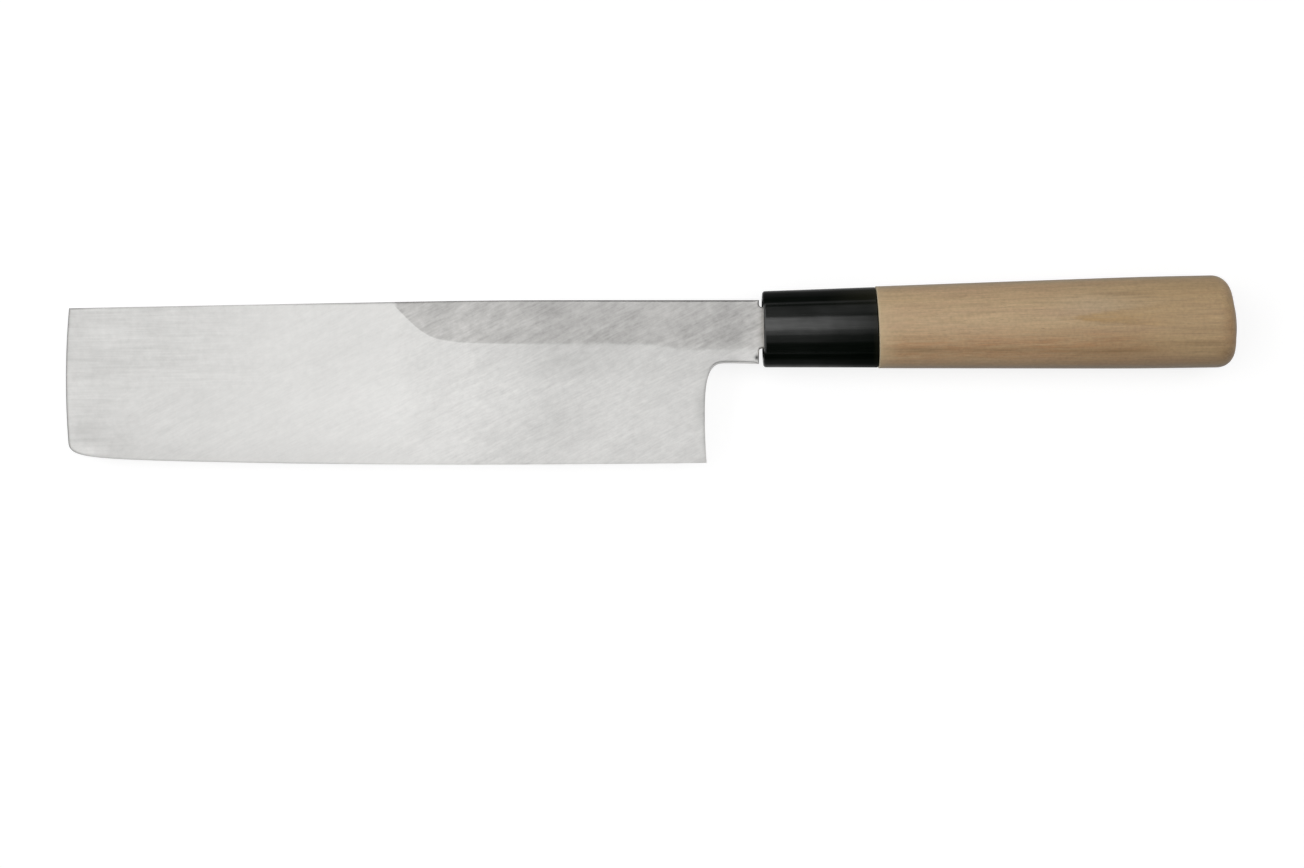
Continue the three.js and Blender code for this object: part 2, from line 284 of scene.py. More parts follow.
# %% [markdown]
# ## Rows between the lines
# Each column is divided by the same anchors: underside, weld, notch, tang's lower side, ridge, tang's
# upper side, spine. The notch row meets the start of the round corner at the heel, so the rows above it
# run on into the neck, and there the columns fan out from that corner. Rows are crowded wherever an edge
# has to look round.

# %% Anchors and the full plan
ROWS = ((12, 2.4, 1.0), (8, 1.0, 1.4), (26, 2.2, 1.2), (6, 1.4, 1.4), (26, 1.8, 1.8), (14, 1.2, 2.4))
WELD_ROW, NOTCH_ROW, LOW_TANG_ROW, RIDGE_ROW, HIGH_TANG_ROW, SPINE_ROW = np.cumsum([n for n, _, _ in ROWS])

cant = math.tan(HANDLE_CANT)
tang_share = (column_x - SHOULDER_X) / (TANG_LENGTH - SHOULDER_X)
tang_blunt = 1.0 - (1.0 - TANG_END[1]) * np.clip((column_x - taper_x) / TANG_END[0], 0.0, 1.0) ** 2
root_reach = np.clip((column_x - SHOULDER_X) / TANG_FILLET, 0.0, 1.0)
root_flare = TANG_FILLET * (1.0 - np.sqrt(1.0 - (1.0 - root_reach) ** 2))
tang_height = TANG_HEIGHTS[0] + (TANG_HEIGHTS[1] - TANG_HEIGHTS[0]) * tang_share
tang_half = tang_height * tang_blunt / 2 + root_flare
tang_axis = cant * column_x + TANG_RISE * (1.0 - tang_share)
tang_low, tang_high = tang_axis - tang_half, tang_axis + tang_half

underside = np.concatenate([corner_part[:, 1], edge_y(bevel_x), neck_underside(neck_x), 0.0 * tang_x])
ridge = ridge_y(column_x)
spine = spine_y(column_x)
weld = weld_y(column_x)
at_shoulder = shoulder_column
notch_share = (notch_y - weld[heel_column]) / (ridge[heel_column] - weld[heel_column])
low_share = (tang_low[at_shoulder] - underside[at_shoulder]) / (ridge[at_shoulder] - underside[at_shoulder])
high_share = (tang_high[at_shoulder] - ridge[at_shoulder]) / (spine[at_shoulder] - ridge[at_shoulder])

column = np.arange(len(column_x))
in_blade = column <= heel_column
in_tang = column > shoulder_column
notch = np.where(in_blade, weld + notch_share * (ridge - weld), underside)
low_tang = np.where(in_tang, tang_low, notch + low_share * (ridge - notch))
high_tang = np.where(in_tang, tang_high, ridge + high_share * (spine - ridge))
ridge = np.where(in_tang, low_tang + (high_tang - low_tang) * 0.1, ridge)
anchors = [underside, np.where(in_blade, weld, underside), notch, low_tang, ridge, high_tang, spine]


def rows_between(low, high, count, start, stop):
    """Heights from one anchor to the next: a blend of the two, spaced by crowded shares."""
    share = crowded(count + 1, start, stop)[1:]
    return low[:, None] + (high - low)[:, None] * share


plan_y = np.hstack([underside[:, None]] + [
    rows_between(low, high, *spec) for low, high, spec in zip(anchors[:-1], anchors[1:], ROWS)
])
tip_weight = 1.0 - smooth_step(column_x, TIP_X, TIP_X + TIP_LEAN)[:, None]
lean_to_tip = tip_weight * (tip_bow(plan_y) - tip_bow(plan_y[:, :1]))
heel_height = np.clip((plan_y - edge_y(HEEL_X)) / (notch_y - edge_y(HEEL_X)), 0.0, 1.0)
heel_weight = np.where(in_blade, smooth_step(column_x, HEEL_X - HEEL_LEAN, HEEL_X), 0.0)[:, None]
lean_to_heel = heel_weight * HEEL_RECESS * (1.0 - (1.0 - heel_height) ** 2)
even_x = np.interp(column, [heel_column, shoulder_column], [heel_face_x, SHOULDER_X])
fan_width = np.where(in_blade | in_tang, 0.0, even_x - column_x)[:, None]
fan = fan_width * np.clip((plan_y - underside[:, None]) / (spine - underside)[:, None], 0.0, 1.0)
plan_x = column_x[:, None] + lean_to_tip - lean_to_heel + fan
plan = np.stack([plan_x, plan_y], axis=-1)

cell_column, cell_row = np.indices((len(column_x) - 1, plan_y.shape[1] - 1))
blade_cells = (
    (cell_column < heel_column)
    | ((cell_column < shoulder_column) & (cell_row >= NOTCH_ROW))
    | ((cell_row >= LOW_TANG_ROW) & (cell_row < HIGH_TANG_ROW))
)
print("Grid:", plan_y.shape, "of which", int(blade_cells.sum()), "cells are metal")

# %% [markdown]
# ## Heights of the two faces
# The bevelled face is the flat, less the fall of the bevel below the ridge. The back is flat with a
# shallow hollow that a maker grinds in so that food lets go and the back is quick to hone. Every edge of
# the real blade is eased with a stone, more at the neck than at the tip, and that shows as a thin dark
# line. Here the easing is a narrow slope in the height, worked out from each point's distance to the
# outline. The cutting edge gets none.

# %% Outline distance and eased faces
RIDGE_BLENDS = (0.1, 0.5)
HOLLOW_DEPTH = 0.35
HOLLOW_LANDS = (5.0, 1.5)
HOLLOW_ENDS = (4.0, 6.0, 12.0)
EASING_WIDTHS = (0.08, 0.46, 0.14)
EASING_SLOPE = 0.8
EASING_RUN = (-112.0, -12.0)
BACK_EASING = 0.15
SHARP_BELOW = (0.3, 0.9)
RIDGE_SOFTENING = (-80.0, -40.0)
HEEL_ZONE = (HEEL_X - 4.0, HEEL_X - 2.0)
HEEL_ZONE_DEPTH = (11.0, 14.0)
SHOULDER_ZONE = (SHOULDER_X - 1.2, SHOULDER_X - 0.3)
HARD_STEEL_END = HEEL_X + 8.0


def mask_border(cells):
    """Grid edges with metal on one side only, as pairs of points with the metal on their left."""
    filled = np.pad(cells, 1)
    inside = filled[1:-1, 1:-1]
    s, j = np.indices(cells.shape)
    sides = (
        (inside & ~filled[1:-1, :-2], (s, j), (s + 1, j)),
        (inside & ~filled[1:-1, 2:], (s + 1, j + 1), (s, j + 1)),
        (inside & ~filled[2:, 1:-1], (s + 1, j), (s + 1, j + 1)),
        (inside & ~filled[:-2, 1:-1], (s, j + 1), (s, j)),
    )
    starts = [np.stack([a[0][open_], a[1][open_]], -1) for open_, a, _ in sides]
    ends = [np.stack([b[0][open_], b[1][open_]], -1) for open_, _, b in sides]
    return np.concatenate(starts), np.concatenate(ends)


def outline_distance(points, cells):
    """The least distance from each grid point to the border's straight pieces, a column at a time."""
    start, end = (points[tuple(ends.T)] for ends in mask_border(cells))
    along = end - start
    length_squared = np.maximum((along**2).sum(-1), 1e-12)
    nearest = np.full(points.shape[:2], np.inf)
    for s, row in enumerate(points):
        offset = row[:, None, :] - start
        share = np.clip((offset * along).sum(-1) / length_squared, 0.0, 1.0)
        nearest[s] = np.hypot(*np.moveaxis(offset - share[..., None] * along, -1, 0)).min(-1)
    return nearest


def eased(distance, width):
    """The drop of a slope that starts at the outline and fades out softly a width inside it."""
    reach = soft_ramp(width - distance, 0.2 * width)
    return EASING_SLOPE * np.where(distance < 2.0 * width, reach, 0.0)


axis_z = SHOULDER_THICKNESS / 2
tang_thick = TANG_THICKNESSES[0] + (TANG_THICKNESSES[1] - TANG_THICKNESSES[0]) * tang_share
tang_thick = np.where(in_tang, tang_thick * tang_blunt, SHOULDER_THICKNESS)
tang_blend = smooth_step(column_x, SHOULDER_X, SHOULDER_X + TANG_BLEND)[:, None]
below_ridge = ridge_y(plan_x) - plan_y
crisp, soft = RIDGE_BLENDS
ridge_blend = crisp + (soft - crisp) * smooth_step(plan_x, *RIDGE_SOFTENING)
face = flat_z(plan_x) - bevel_slope(plan_x) * soft_ramp(below_ridge, ridge_blend)
face = face + tang_blend * (axis_z + tang_thick[:, None] / 2 - face)

spine_land, edge_land = HOLLOW_LANDS
hollow_low, hollow_high = edge_y(plan_x) + edge_land, spine_y(plan_x) - spine_land
hollow_share = np.clip((plan_y - hollow_low) / (hollow_high - hollow_low), 0.0, 1.0)
tip_land, heel_land, fade = HOLLOW_ENDS
hollow_fade = smooth_step(plan_x - TIP_X, tip_land, tip_land + fade)
hollow_fade = hollow_fade * smooth_step(HEEL_X - plan_x, heel_land, heel_land + fade)
back = HOLLOW_DEPTH * hollow_fade * 4.0 * hollow_share * (1.0 - hollow_share)
back = back + tang_blend * (axis_z - tang_thick[:, None] / 2 - back)

to_outline = outline_distance(plan, blade_cells)
thickness = face - back
tip_easing, neck_easing, end_easing = EASING_WIDTHS
at_heel = smooth_step(plan_x, *HEEL_ZONE) * smooth_step(-plan_y, *HEEL_ZONE_DEPTH)
at_end = np.maximum(at_heel, smooth_step(plan_x, *SHOULDER_ZONE))
easing = tip_easing + (neck_easing - tip_easing) * smooth_step(plan_x, *EASING_RUN)
easing = easing + (np.minimum(easing, end_easing) - easing) * at_end
easing = np.minimum(easing, 0.5 * thickness) * smooth_step(thickness, *SHARP_BELOW) + 1e-6
blade_top = face - eased(to_outline, easing)
blade_bottom = back + eased(to_outline, np.minimum(BACK_EASING, easing))
metal = blade_cells.nonzero()
print("Thickness, least and most:", thickness[metal].min().round(3), thickness[metal].max().round(3))

# %% [markdown]
# ## Two steels on one grid
# The hard steel fills the blade from the back up to the weld, and the soft iron the rest. Both are made
# by the same function: a body over the grid with a lower and an upper height at each point. Where the two
# heights meet, as at the iron's feather edge on the bevel, the points are shared, so that the body closes
# there with no wall.

# %% A body between two heights
WELD_GAP = 0.02
LEAST_IRON = 0.003
CRISP_RIDGE_END = -70.0


def slab(points, low, high, cells):
    """Top and bottom are the masked cells at the two heights. A wall joins them along the mask's border."""
    top = np.arange(low.size).reshape(low.shape)
    bottom = np.where(high - low < 1e-5, top, top + low.size)
    s, j = np.nonzero(cells)
    upper = np.stack([top[s, j], top[s + 1, j], top[s + 1, j + 1], top[s, j + 1]], -1)
    lower = np.stack([bottom[s, j], bottom[s, j + 1], bottom[s + 1, j + 1], bottom[s + 1, j]], -1)
    a, b = (tuple(ends.T) for ends in mask_border(cells))
    wall = np.concatenate([
        np.stack([bottom[a], bottom[b], top[b]], -1),
        np.stack([bottom[a], top[b], top[a]], -1),
    ])
    whole = (wall[:, 0] != wall[:, 1]) & (wall[:, 1] != wall[:, 2]) & (wall[:, 2] != wall[:, 0])
    flat = points.reshape(-1, 2)
    places = np.concatenate([np.column_stack([flat, high.ravel()]), np.column_stack([flat, low.ravel()])])
    used = np.unique(np.concatenate([upper.ravel(), lower.ravel(), wall[whole].ravel()]))
    renumber = np.zeros(len(places), dtype=int)
    renumber[used] = np.arange(len(used))
    faces = [renumber[part].tolist() for part in (upper, lower, wall[whole])]
    return places[used], faces[0] + faces[1] + faces[2], used % low.size


def crease(piece, source, row, columns):
    """Marks the mesh edges that lie on one grid row, within some columns, as sharp."""
    grid_row, grid_column = source % plan_y.shape[1], source // plan_y.shape[1]
    on_row = (grid_row == row) & columns[grid_column]
    ends = np.empty(2 * len(piece.data.edges), dtype=np.int32)
    piece.data.edges.foreach_get("vertices", ends)
    sharp = np.empty(len(piece.data.edges), dtype=bool)
    piece.data.edges.foreach_get("use_edge_sharp", sharp)
    piece.data.edges.foreach_set("use_edge_sharp", sharp | on_row[ends.reshape(-1, 2)].all(1))


weld_plane = np.broadcast_to(weld_z(plan_x), plan_x.shape)
in_hard_steel = (column_x <= HARD_STEEL_END)[:, None]
iron_low = np.maximum(blade_bottom, np.minimum(weld_plane, blade_top - LEAST_IRON))
iron_low = np.where(in_hard_steel, iron_low, blade_bottom)
iron_low[:, WELD_ROW] = np.where(in_blade, blade_top[:, WELD_ROW], iron_low[:, WELD_ROW])
iron_cells = blade_cells & (cell_row >= WELD_ROW)
steel_high = np.maximum(iron_low - WELD_GAP, blade_bottom)
steel_high[:, : WELD_ROW + 1] = blade_top[:, : WELD_ROW + 1]
steel_cells = blade_cells & in_hard_steel[1:]

iron_points, iron_faces, iron_source = slab(plan, iron_low, blade_top, iron_cells)
iron = make_piece("soft_iron_body", iron_points, iron_faces, "soft_iron_blade")
steel_points, steel_faces, steel_source = slab(plan, blade_bottom, steel_high, steel_cells)
steel = make_piece("hard_steel_back", steel_points, steel_faces, "hard_steel_layer")
crease(steel, steel_source, WELD_ROW, in_blade)
crease(iron, iron_source, RIDGE_ROW, column_x < CRISP_RIDGE_END)

# %% [markdown]
# ## Where the steel is bright
# Wheel, belt and stone don't touch the whole blade alike, and painted light and shade are laid over that
# here. The bevel is brightest in the middle of its length and duller along the edge and at the heel. It is
# painted darker at the tip, on its upper part past the middle and towards the ridge, as painted shade, with
# a painted highlight on the tip's lower corner. The flat is duller than the bevel, and the neck is painted
# brighter towards the ferrule's mouth, as painted light where the ferrule shades it. A painted picture could
# hold this, but a few ramps and soft spots say it in numbers, which are stored on the mesh for the material
# to read. One of them says where the marks run level and not on a slant. A row in a table of spots is an
# amount, a place along and up the blade, a run and a width. A row in a table of ramps is an amount and the
# two ends.

# %% Spots, ramps and numbers on the mesh
def stroke(x, y, place_x, place_y, run, width):
    """A soft long spot: e to the minus squares of the distances along and across."""
    return np.exp(-(((x - place_x) / run) ** 2) - ((y - place_y) / width) ** 2)


def spots(table):
    """The sum of a table's spots over the plan, each times its amount, first in its row."""
    return sum(amount * stroke(plan_x, plan_y, *spot) for amount, *spot in table)


def ramps(table):
    """The sum of a table's soft steps along the blade, each times its amount, first in its row."""
    return sum(amount * smooth_step(plan_x, *ends) for amount, *ends in table)


def lend(piece, name, values, source):
    """Stores one number a point on the mesh, so that a material can read it by name."""
    layer = piece.data.attributes.new(name, "FLOAT", "POINT")
    layer.data.foreach_set("value", values.ravel()[source].astype(np.float32))


# %% Flat side and level marks
FLAT_FADE = 1.5
LEVEL_BAND_X = (-168.0, -118.0)
LEVEL_BAND_Y = (-19.0, -15.0)
LEVEL_TIP = 0.85
LEVEL_TIP_X = (TIP_X + 8.0, TIP_X + 28.0)

flat_mask = (1.0 - below_ridge / np.hypot(below_ridge, ridge_blend)) / 2.0
flat_mask = flat_mask * smooth_step(spine_y(plan_x) - ridge_y(plan_x), LEAST_FLAT, LEAST_FLAT + FLAT_FADE)
level = (1.0 - smooth_step(plan_x, *LEVEL_BAND_X)) * smooth_step(plan_y, *LEVEL_BAND_Y)
level = np.maximum(level, LEVEL_TIP * (1.0 - smooth_step(plan_x, *LEVEL_TIP_X)))
print("Share of the metal on the flat side:", flat_mask[metal].mean().round(2))

# %% Polish and painted light of the bevel and the flat
BEVEL_POLISH = 0.765
# Painted shade and light along the bevel: darker at the tip, brighter past the middle.
BEVEL_PAINTED_LIGHT_RAMPS = ((0.2, TIP_X, -95.0), (0.065, -56.0, -38.0))
# Painted shade: the bevel is brighter at the edge and darker towards the ridge.
BEVEL_AT_EDGE = 1.07
BEVEL_SHADE_TO_RIDGE = -0.16
BEVEL_SPOTS = (
    (0.05, -82.0, -18.0, 16.0, 60.0),
    (0.035, -82.0, -18.0, 18.0, 7.0),
    (0.05, -16.0, -7.0, 8.0, 4.5),
    (-0.05, TIP_X + 5.0, -8.5, 12.0, 3.5),
    (-0.09, TIP_X + 5.0, -28.6, 4.5, 4.0),
    (-0.05, -98.0, 1.0, 6.0, 5.0),
    (-0.045, -56.0, -26.0, 6.0, 6.0),
    (0.02, -140.0, -24.0, 30.0, 9.0),
    (-0.03, -105.0, -1.0, 9.0, 12.0),
    (0.025, -80.0, -34.0, 7.0, 2.5),
    (-0.025, -116.0, -33.5, 8.0, 2.5),
    # Painted highlight on the tip's lower corner.
    (0.13, TIP_X + 6.0, -34.0, 6.0, 1.8),
    (-0.1, -18.5, -36.6, 4.0, 0.5),
    (-0.13, heel_face_x - 1.2, -22.0, 1.3, 5.0),
)
# Painted shade on the upper bevel past the middle.
UPPER_BEVEL_SHADE = 0.065
UPPER_BEVEL_SHADE_X = (-95.0, -55.0)
UPPER_BEVEL_SHADE_Y = (-15.6, -12.0)
EDGE_DULL = 0.04
EDGE_DULL_X = (-100.0, -90.0)
EDGE_DULL_BAND = (1.5, 3.2)
FLAT_POLISH = 1.05
FLAT_RAMPS = ((-0.05, -90.0, -60.0), (-0.03, -16.0, -8.0))
FLAT_SPOTS = (
    (0.1, -82.0, -1.5, 11.0, 4.5),
    (0.07, -75.0, 0.8, 8.0, 3.0),
    (0.085, -16.5, -4.0, 5.0, 3.0),
    (-0.05, -9.5, 2.5, 4.0, 3.5),
    (-0.1, -6.6, -0.8, 1.0, 3.0),
)
# Painted light on the neck towards the ferrule's mouth, where the ferrule shades it.
NECK_PAINTED_LIGHT = ((0.13, -8.0, -4.0), (0.17, -3.5, -0.5))
SPECK = (-1.25, -1.75, -8.0, 0.5, 0.7)

above_edge = plan_y - edge_y(plan_x)
bevel_share = np.clip(above_edge / (ridge_y(plan_x) - edge_y(plan_x)), 0.0, 1.0)
upper_bevel_shade = smooth_step(plan_x, *UPPER_BEVEL_SHADE_X) * smooth_step(plan_y, *UPPER_BEVEL_SHADE_Y)
dull_place, dull_width = EDGE_DULL_BAND
edge_dull = np.exp(-(((above_edge - dull_place) / dull_width) ** 2))
edge_dull = edge_dull * (1.0 - smooth_step(plan_x, *EDGE_DULL_X))
bevel_polish_and_light = (BEVEL_POLISH + ramps(BEVEL_PAINTED_LIGHT_RAMPS)) * (BEVEL_AT_EDGE + BEVEL_SHADE_TO_RIDGE * bevel_share)
bevel_polish_and_light = bevel_polish_and_light * (1.0 - UPPER_BEVEL_SHADE * upper_bevel_shade) + spots(BEVEL_SPOTS) - EDGE_DULL * edge_dull
flat_polish = FLAT_POLISH + ramps(FLAT_RAMPS) + spots(FLAT_SPOTS)
# The steel's tone number: polish, stains and painted light and shade together.
polish_and_light = bevel_polish_and_light + flat_mask * (flat_polish - bevel_polish_and_light)
polish_and_light = polish_and_light * (1.0 + ramps(NECK_PAINTED_LIGHT) + spots((SPECK,)))
print("Polish before the rims, from", polish_and_light[metal].min().round(2), "to", polish_and_light[metal].max().round(2))

# %% Painted dark rims, a painted shade of the eased edges, and the strength of the marks
TIP_END_ZONE = (TIP_X + 2.0, TIP_X + 8.0)
SPINE_LINE = (-106.0, 6.0, 24.0, 6.0)
# Painted shade along the outline: everywhere, and more at the heel, at the tip's end and along the spine
# where the ridge runs out
RIM_WIDTHS = (0.3, 0.24, 0.07, 0.14)
RIM_SHADE_DEPTHS = (0.28, 0.04, 0.32, 0.3)
# Less painted rim shade near the cutting edge, from about the middle towards the heel.
LESS_RIM_SHADE = 0.16
LESS_RIM_SHADE_X = (-120.0, -100.0)
LESS_RIM_SHADE_DEPTH = (-6.0, -2.0)
BEVEL_MARKS = 1.22
BEVEL_MARK_RAMPS = ((1.05, -115.0, -75.0), (-0.3, -170.0, -140.0))
LEVEL_MARKS = 0.6
FLAT_MARKS = 3.1
FLAT_MARK_RAMPS = ((0.3, -16.0, -8.0),)

rim_zones = (
    1.0,
    at_heel,
    1.0 - smooth_step(plan_x, *TIP_END_ZONE),
    stroke(plan_x, plan_y, *SPINE_LINE),
)
rim_width = sum(amount * zone for amount, zone in zip(RIM_WIDTHS, rim_zones))
rim_shade_depth = sum(amount * zone for amount, zone in zip(RIM_SHADE_DEPTHS, rim_zones))
rim_shade_depth = rim_shade_depth - LESS_RIM_SHADE * smooth_step(plan_x, *LESS_RIM_SHADE_X) * smooth_step(-above_edge, *LESS_RIM_SHADE_DEPTH)
polish_and_light = polish_and_light * (1.0 - rim_shade_depth * np.exp(-((to_outline / rim_width) ** 2)))
bevel_marks = BEVEL_MARKS + ramps(BEVEL_MARK_RAMPS) + LEVEL_MARKS * level
flat_marks = FLAT_MARKS + ramps(FLAT_MARK_RAMPS)
marks = bevel_marks + flat_mask * (flat_marks - bevel_marks)
for piece, source in ((iron, iron_source), (steel, steel_source)):
    for name, values in (("flat_side", flat_mask), ("polish_and_light", polish_and_light), ("marks", marks), ("level", level)):
        lend(piece, name, values, source)
print("Polish with the rims, from", polish_and_light[metal].min().round(2), "to", polish_and_light[metal].max().round(2))

# %% [markdown]
# ## Ferrule and handle
# Both are ovals carried along the handle's axis, which rises a little from the blade's line. The
# ferrule's profile is a closed loop: round front edge, outside, back face, bore. The handle's starts at
# the middle of the butt, runs forward over the crown and the taper, steps in to the tenon and turns into
# the tang's slot, where the oval becomes a rounded oblong. A ring therefore needs a place, two half
# sizes, a fullness and a lean.

# %% Rings along the handle's axis
FERRULE_LENGTH = 31.8
WOOD_LENGTH = 101.2
JOINT_RAKE = math.tan(math.radians(1.5))
FRONT_SIZE = np.array([21.4, 17.6])
FULL_SIZE = np.array([25.55, 20.8])
SWELL = (108.0, 10.0)
OVAL_FULLNESS = 2.15
SIDES = 160


def handle_halves(along):
    """Half height and half width of the oval: a straight taper that levels off at the swell."""
    place, blend = SWELL
    share = soft_ramp(place - along, blend) / soft_ramp(place, blend)
    return (FULL_SIZE + (FRONT_SIZE - FULL_SIZE) * np.asarray(share)[..., None]) / 2.0


def ring_grid(along, halves, fullness=OVAL_FULLNESS, lean=0.0, lift=0.0):
    """Superellipse rings: cosine and sine to the power 2/fullness, times the half sizes, canted about Z."""
    turn = np.linspace(0.0, 2.0 * math.pi, SIDES, endpoint=False)
    power = 2.0 / np.broadcast_to(fullness, along.shape)[:, None]
    y = halves[:, :1] * np.sign(np.cos(turn)) * np.abs(np.cos(turn)) ** power
    z = halves[:, 1:] * np.sign(np.sin(turn)) * np.abs(np.sin(turn)) ** power
    x = along[:, None] - np.broadcast_to(lean, along.shape)[:, None] * y
    y = y + np.broadcast_to(lift, along.shape)[:, None]
    turned_x = x * math.cos(HANDLE_CANT) - y * math.sin(HANDLE_CANT)
    turned_y = x * math.sin(HANDLE_CANT) + y * math.cos(HANDLE_CANT)
    return np.stack([turned_x, turned_y, z + axis_z], -1)


def ring_faces(rings, loop):
    """Quads between rings that run forward, joined back to the first ring if the profile is a loop."""
    index = np.arange(rings * SIDES).reshape(rings, SIDES)
    ahead = np.roll(index, -1, axis=0) if loop else index[1:]
    here = index if loop else index[:-1]
    quads = np.stack([here, np.roll(here, -1, 1), np.roll(ahead, -1, 1), ahead], -1)
    return quads.reshape(-1, 4).tolist()


def quarter(count):
    """Sines and cosines from 0 to a right angle, for rounded edges."""
    turn = np.linspace(0.0, math.pi / 2, count)
    return np.sin(turn), np.cos(turn)


# %% [markdown]
# The ferrule is a slice of a horn's tip, bored out, pressed over the tenon and polished with the handle,
# so its skin carries straight on from the taper. Its front is square and its back is cut at a slight
# rake.

# %% Horn ferrule
FERRULE_EDGE = 0.75
BACK_EDGE = 0.12
BORE_RINGS = 6
TENON_SIZE = np.array([16.2, 12.2])
TENON_GAP = 0.15

rise, fall = quarter(8)
outside_x = np.linspace(FERRULE_EDGE, FERRULE_LENGTH - BACK_EDGE, 40)
edge_x = FERRULE_EDGE * (1.0 - fall)
edge_inset = FERRULE_EDGE * (1.0 - rise)
bore = TENON_SIZE / 2 + TENON_GAP
skin_x = np.concatenate([edge_x, outside_x[1:], [FERRULE_LENGTH]])
skin = handle_halves(skin_x) - np.concatenate([edge_inset, 0.0 * outside_x[1:], [BACK_EDGE]])[:, None]
bore_x = np.linspace(FERRULE_LENGTH, 0.0, BORE_RINGS)
ferrule_x = np.concatenate([skin_x, bore_x])
ferrule_halves = np.concatenate([skin, np.broadcast_to(bore, (BORE_RINGS, 2))])
ferrule_grid = ring_grid(ferrule_x, ferrule_halves, lean=JOINT_RAKE * ferrule_x / FERRULE_LENGTH)
ferrule_faces = ring_faces(len(ferrule_x), loop=True)
ferrule = make_piece("horn_ring", ferrule_grid.reshape(-1, 3), ferrule_faces, "horn_ferrule")

# %% [markdown]
# The handle is one stick of magnolia. Horn shrinks a little more than wood over the years, so the wood
# stands proud at the joint. Its broken edge there carries a pale line of painted highlight in the wood's
# colour. The butt is crowned and cut at a slight rake.

# %% Magnolia handle
GLUE_LINE = 0.2
WOOD_PROUD = 0.2
WOOD_EDGE = 0.3
BUTT_EDGE = 5.0
BUTT_CROWN = 1.2
BUTT_RAKE = math.tan(math.radians(3.2))
RAKE_FADE = 10.0
BUTT_CENTRE = 0.02
TENON_RECESS = 0.4
TENON_CHAMFER = 0.2
TANG_CLEARANCE = 0.3
SLOT_END = TANG_LENGTH + 2.0
SLOT_FULLNESS = 9.0

butt_x = FERRULE_LENGTH + WOOD_LENGTH
round_x = butt_x - BUTT_CROWN - BUTT_EDGE
joint_x = FERRULE_LENGTH + GLUE_LINE
butt_halves = handle_halves(round_x) + WOOD_PROUD
crown_left = np.linspace(BUTT_CENTRE, 1.0, 24)
rise, fall = quarter(20)
body_x = np.linspace(round_x, joint_x + WOOD_EDGE, 110)[1:]
body_lean = BUTT_RAKE * smooth_step(body_x, round_x - RAKE_FADE, round_x)
body_lean = body_lean + JOINT_RAKE * (1.0 - smooth_step(body_x, joint_x + WOOD_EDGE, joint_x + RAKE_FADE))
front_rise, front_fall = quarter(8)
slot_x = np.linspace(TENON_RECESS, SLOT_END, 20)
slot_share = ((slot_x - SHOULDER_X) / (TANG_LENGTH - SHOULDER_X))[:, None]
slot_root = np.array([TANG_HEIGHTS[0], TANG_THICKNESSES[0]])
slot_tip = np.array([TANG_HEIGHTS[1], TANG_THICKNESSES[1]])
parts = (
    (butt_x - BUTT_CROWN * crown_left**2, (butt_halves - BUTT_EDGE) * crown_left[:, None], BUTT_RAKE),
    (round_x + BUTT_EDGE * fall[1:], butt_halves - BUTT_EDGE * (1.0 - rise[1:, None]), BUTT_RAKE),
    (body_x, handle_halves(body_x) + WOOD_PROUD, body_lean),
    (joint_x + WOOD_EDGE * (1.0 - front_rise[1:]),
     handle_halves(joint_x) + WOOD_PROUD - WOOD_EDGE * (1.0 - front_fall[1:, None]), JOINT_RAKE),
    (np.array([joint_x, TENON_RECESS + TENON_CHAMFER, TENON_RECESS]),
     TENON_SIZE / 2 - np.array([[0.0], [0.0], [TENON_CHAMFER]]), np.array([JOINT_RAKE, 0.0, 0.0])),
    (slot_x, (slot_root + (slot_tip - slot_root) * slot_share) / 2 + TANG_CLEARANCE, 0.0),
)
wood_x = np.concatenate([x for x, _, _ in parts])
wood_halves = np.concatenate([halves for _, halves, _ in parts])
wood_lean = np.concatenate([np.broadcast_to(lean, x.shape) for x, _, lean in parts])
in_slot = np.arange(len(wood_x)) >= len(wood_x) - len(slot_x)
wood_fullness = np.where(in_slot, SLOT_FULLNESS, OVAL_FULLNESS)
wood_lift = np.zeros(len(wood_x))
wood_lift[in_slot] = TANG_RISE * (1.0 - slot_share[:, 0])
wood_grid = ring_grid(wood_x, wood_halves, wood_fullness, wood_lean, wood_lift)
wood_faces = [quad[::-1] for quad in ring_faces(len(wood_x), loop=False)]
wood_faces += [list(range(SIDES)), list(range(len(wood_x) * SIDES))[: -SIDES - 1 : -1]]
wood = make_piece("magnolia_grip", wood_grid.reshape(-1, 3), wood_faces, "magnolia_handle")

# %% [markdown]
# ## Shared effects
# Ground steel, polished horn and planed wood all carry marks that are long one way and fine the other.
# They could be painted or come from an image, but noise that is stretched does the same at any size and
# from any side. One node group makes such streaks: it turns the object's coordinates, divides them by a
# length and a width, and looks up noise there.

# %% Node helpers
def is_socket(value):
    """Whether a value is another node's output, to be linked, and not a constant, to be set."""
    return isinstance(value, bpy.types.NodeSocket)


def add(tree, kind, inputs, output=0, **settings):
    """Adds one node and gives one of its outputs. Inputs that are sockets are linked, others are set."""
    made = tree.nodes.new(kind)
    for name, value in settings.items():
        setattr(made, name, value)
    for socket, value in inputs.items():
        if is_socket(value):
            tree.links.new(value, made.inputs[socket])
        else:
            made.inputs[socket].default_value = value
    return made.outputs[output]


def combine(tree, operation, first, second):
    """One arithmetic step on two values."""
    return add(tree, "ShaderNodeMath", {0: first, 1: second}, operation=operation)


def remap(tree, value, low, high, to_low, to_high):
    """Carries the range low..high to another range, straight and clamped."""
    return add(tree, "ShaderNodeMapRange", {
        "Value": value, "From Min": low, "From Max": high, "To Min": to_low, "To Max": to_high})


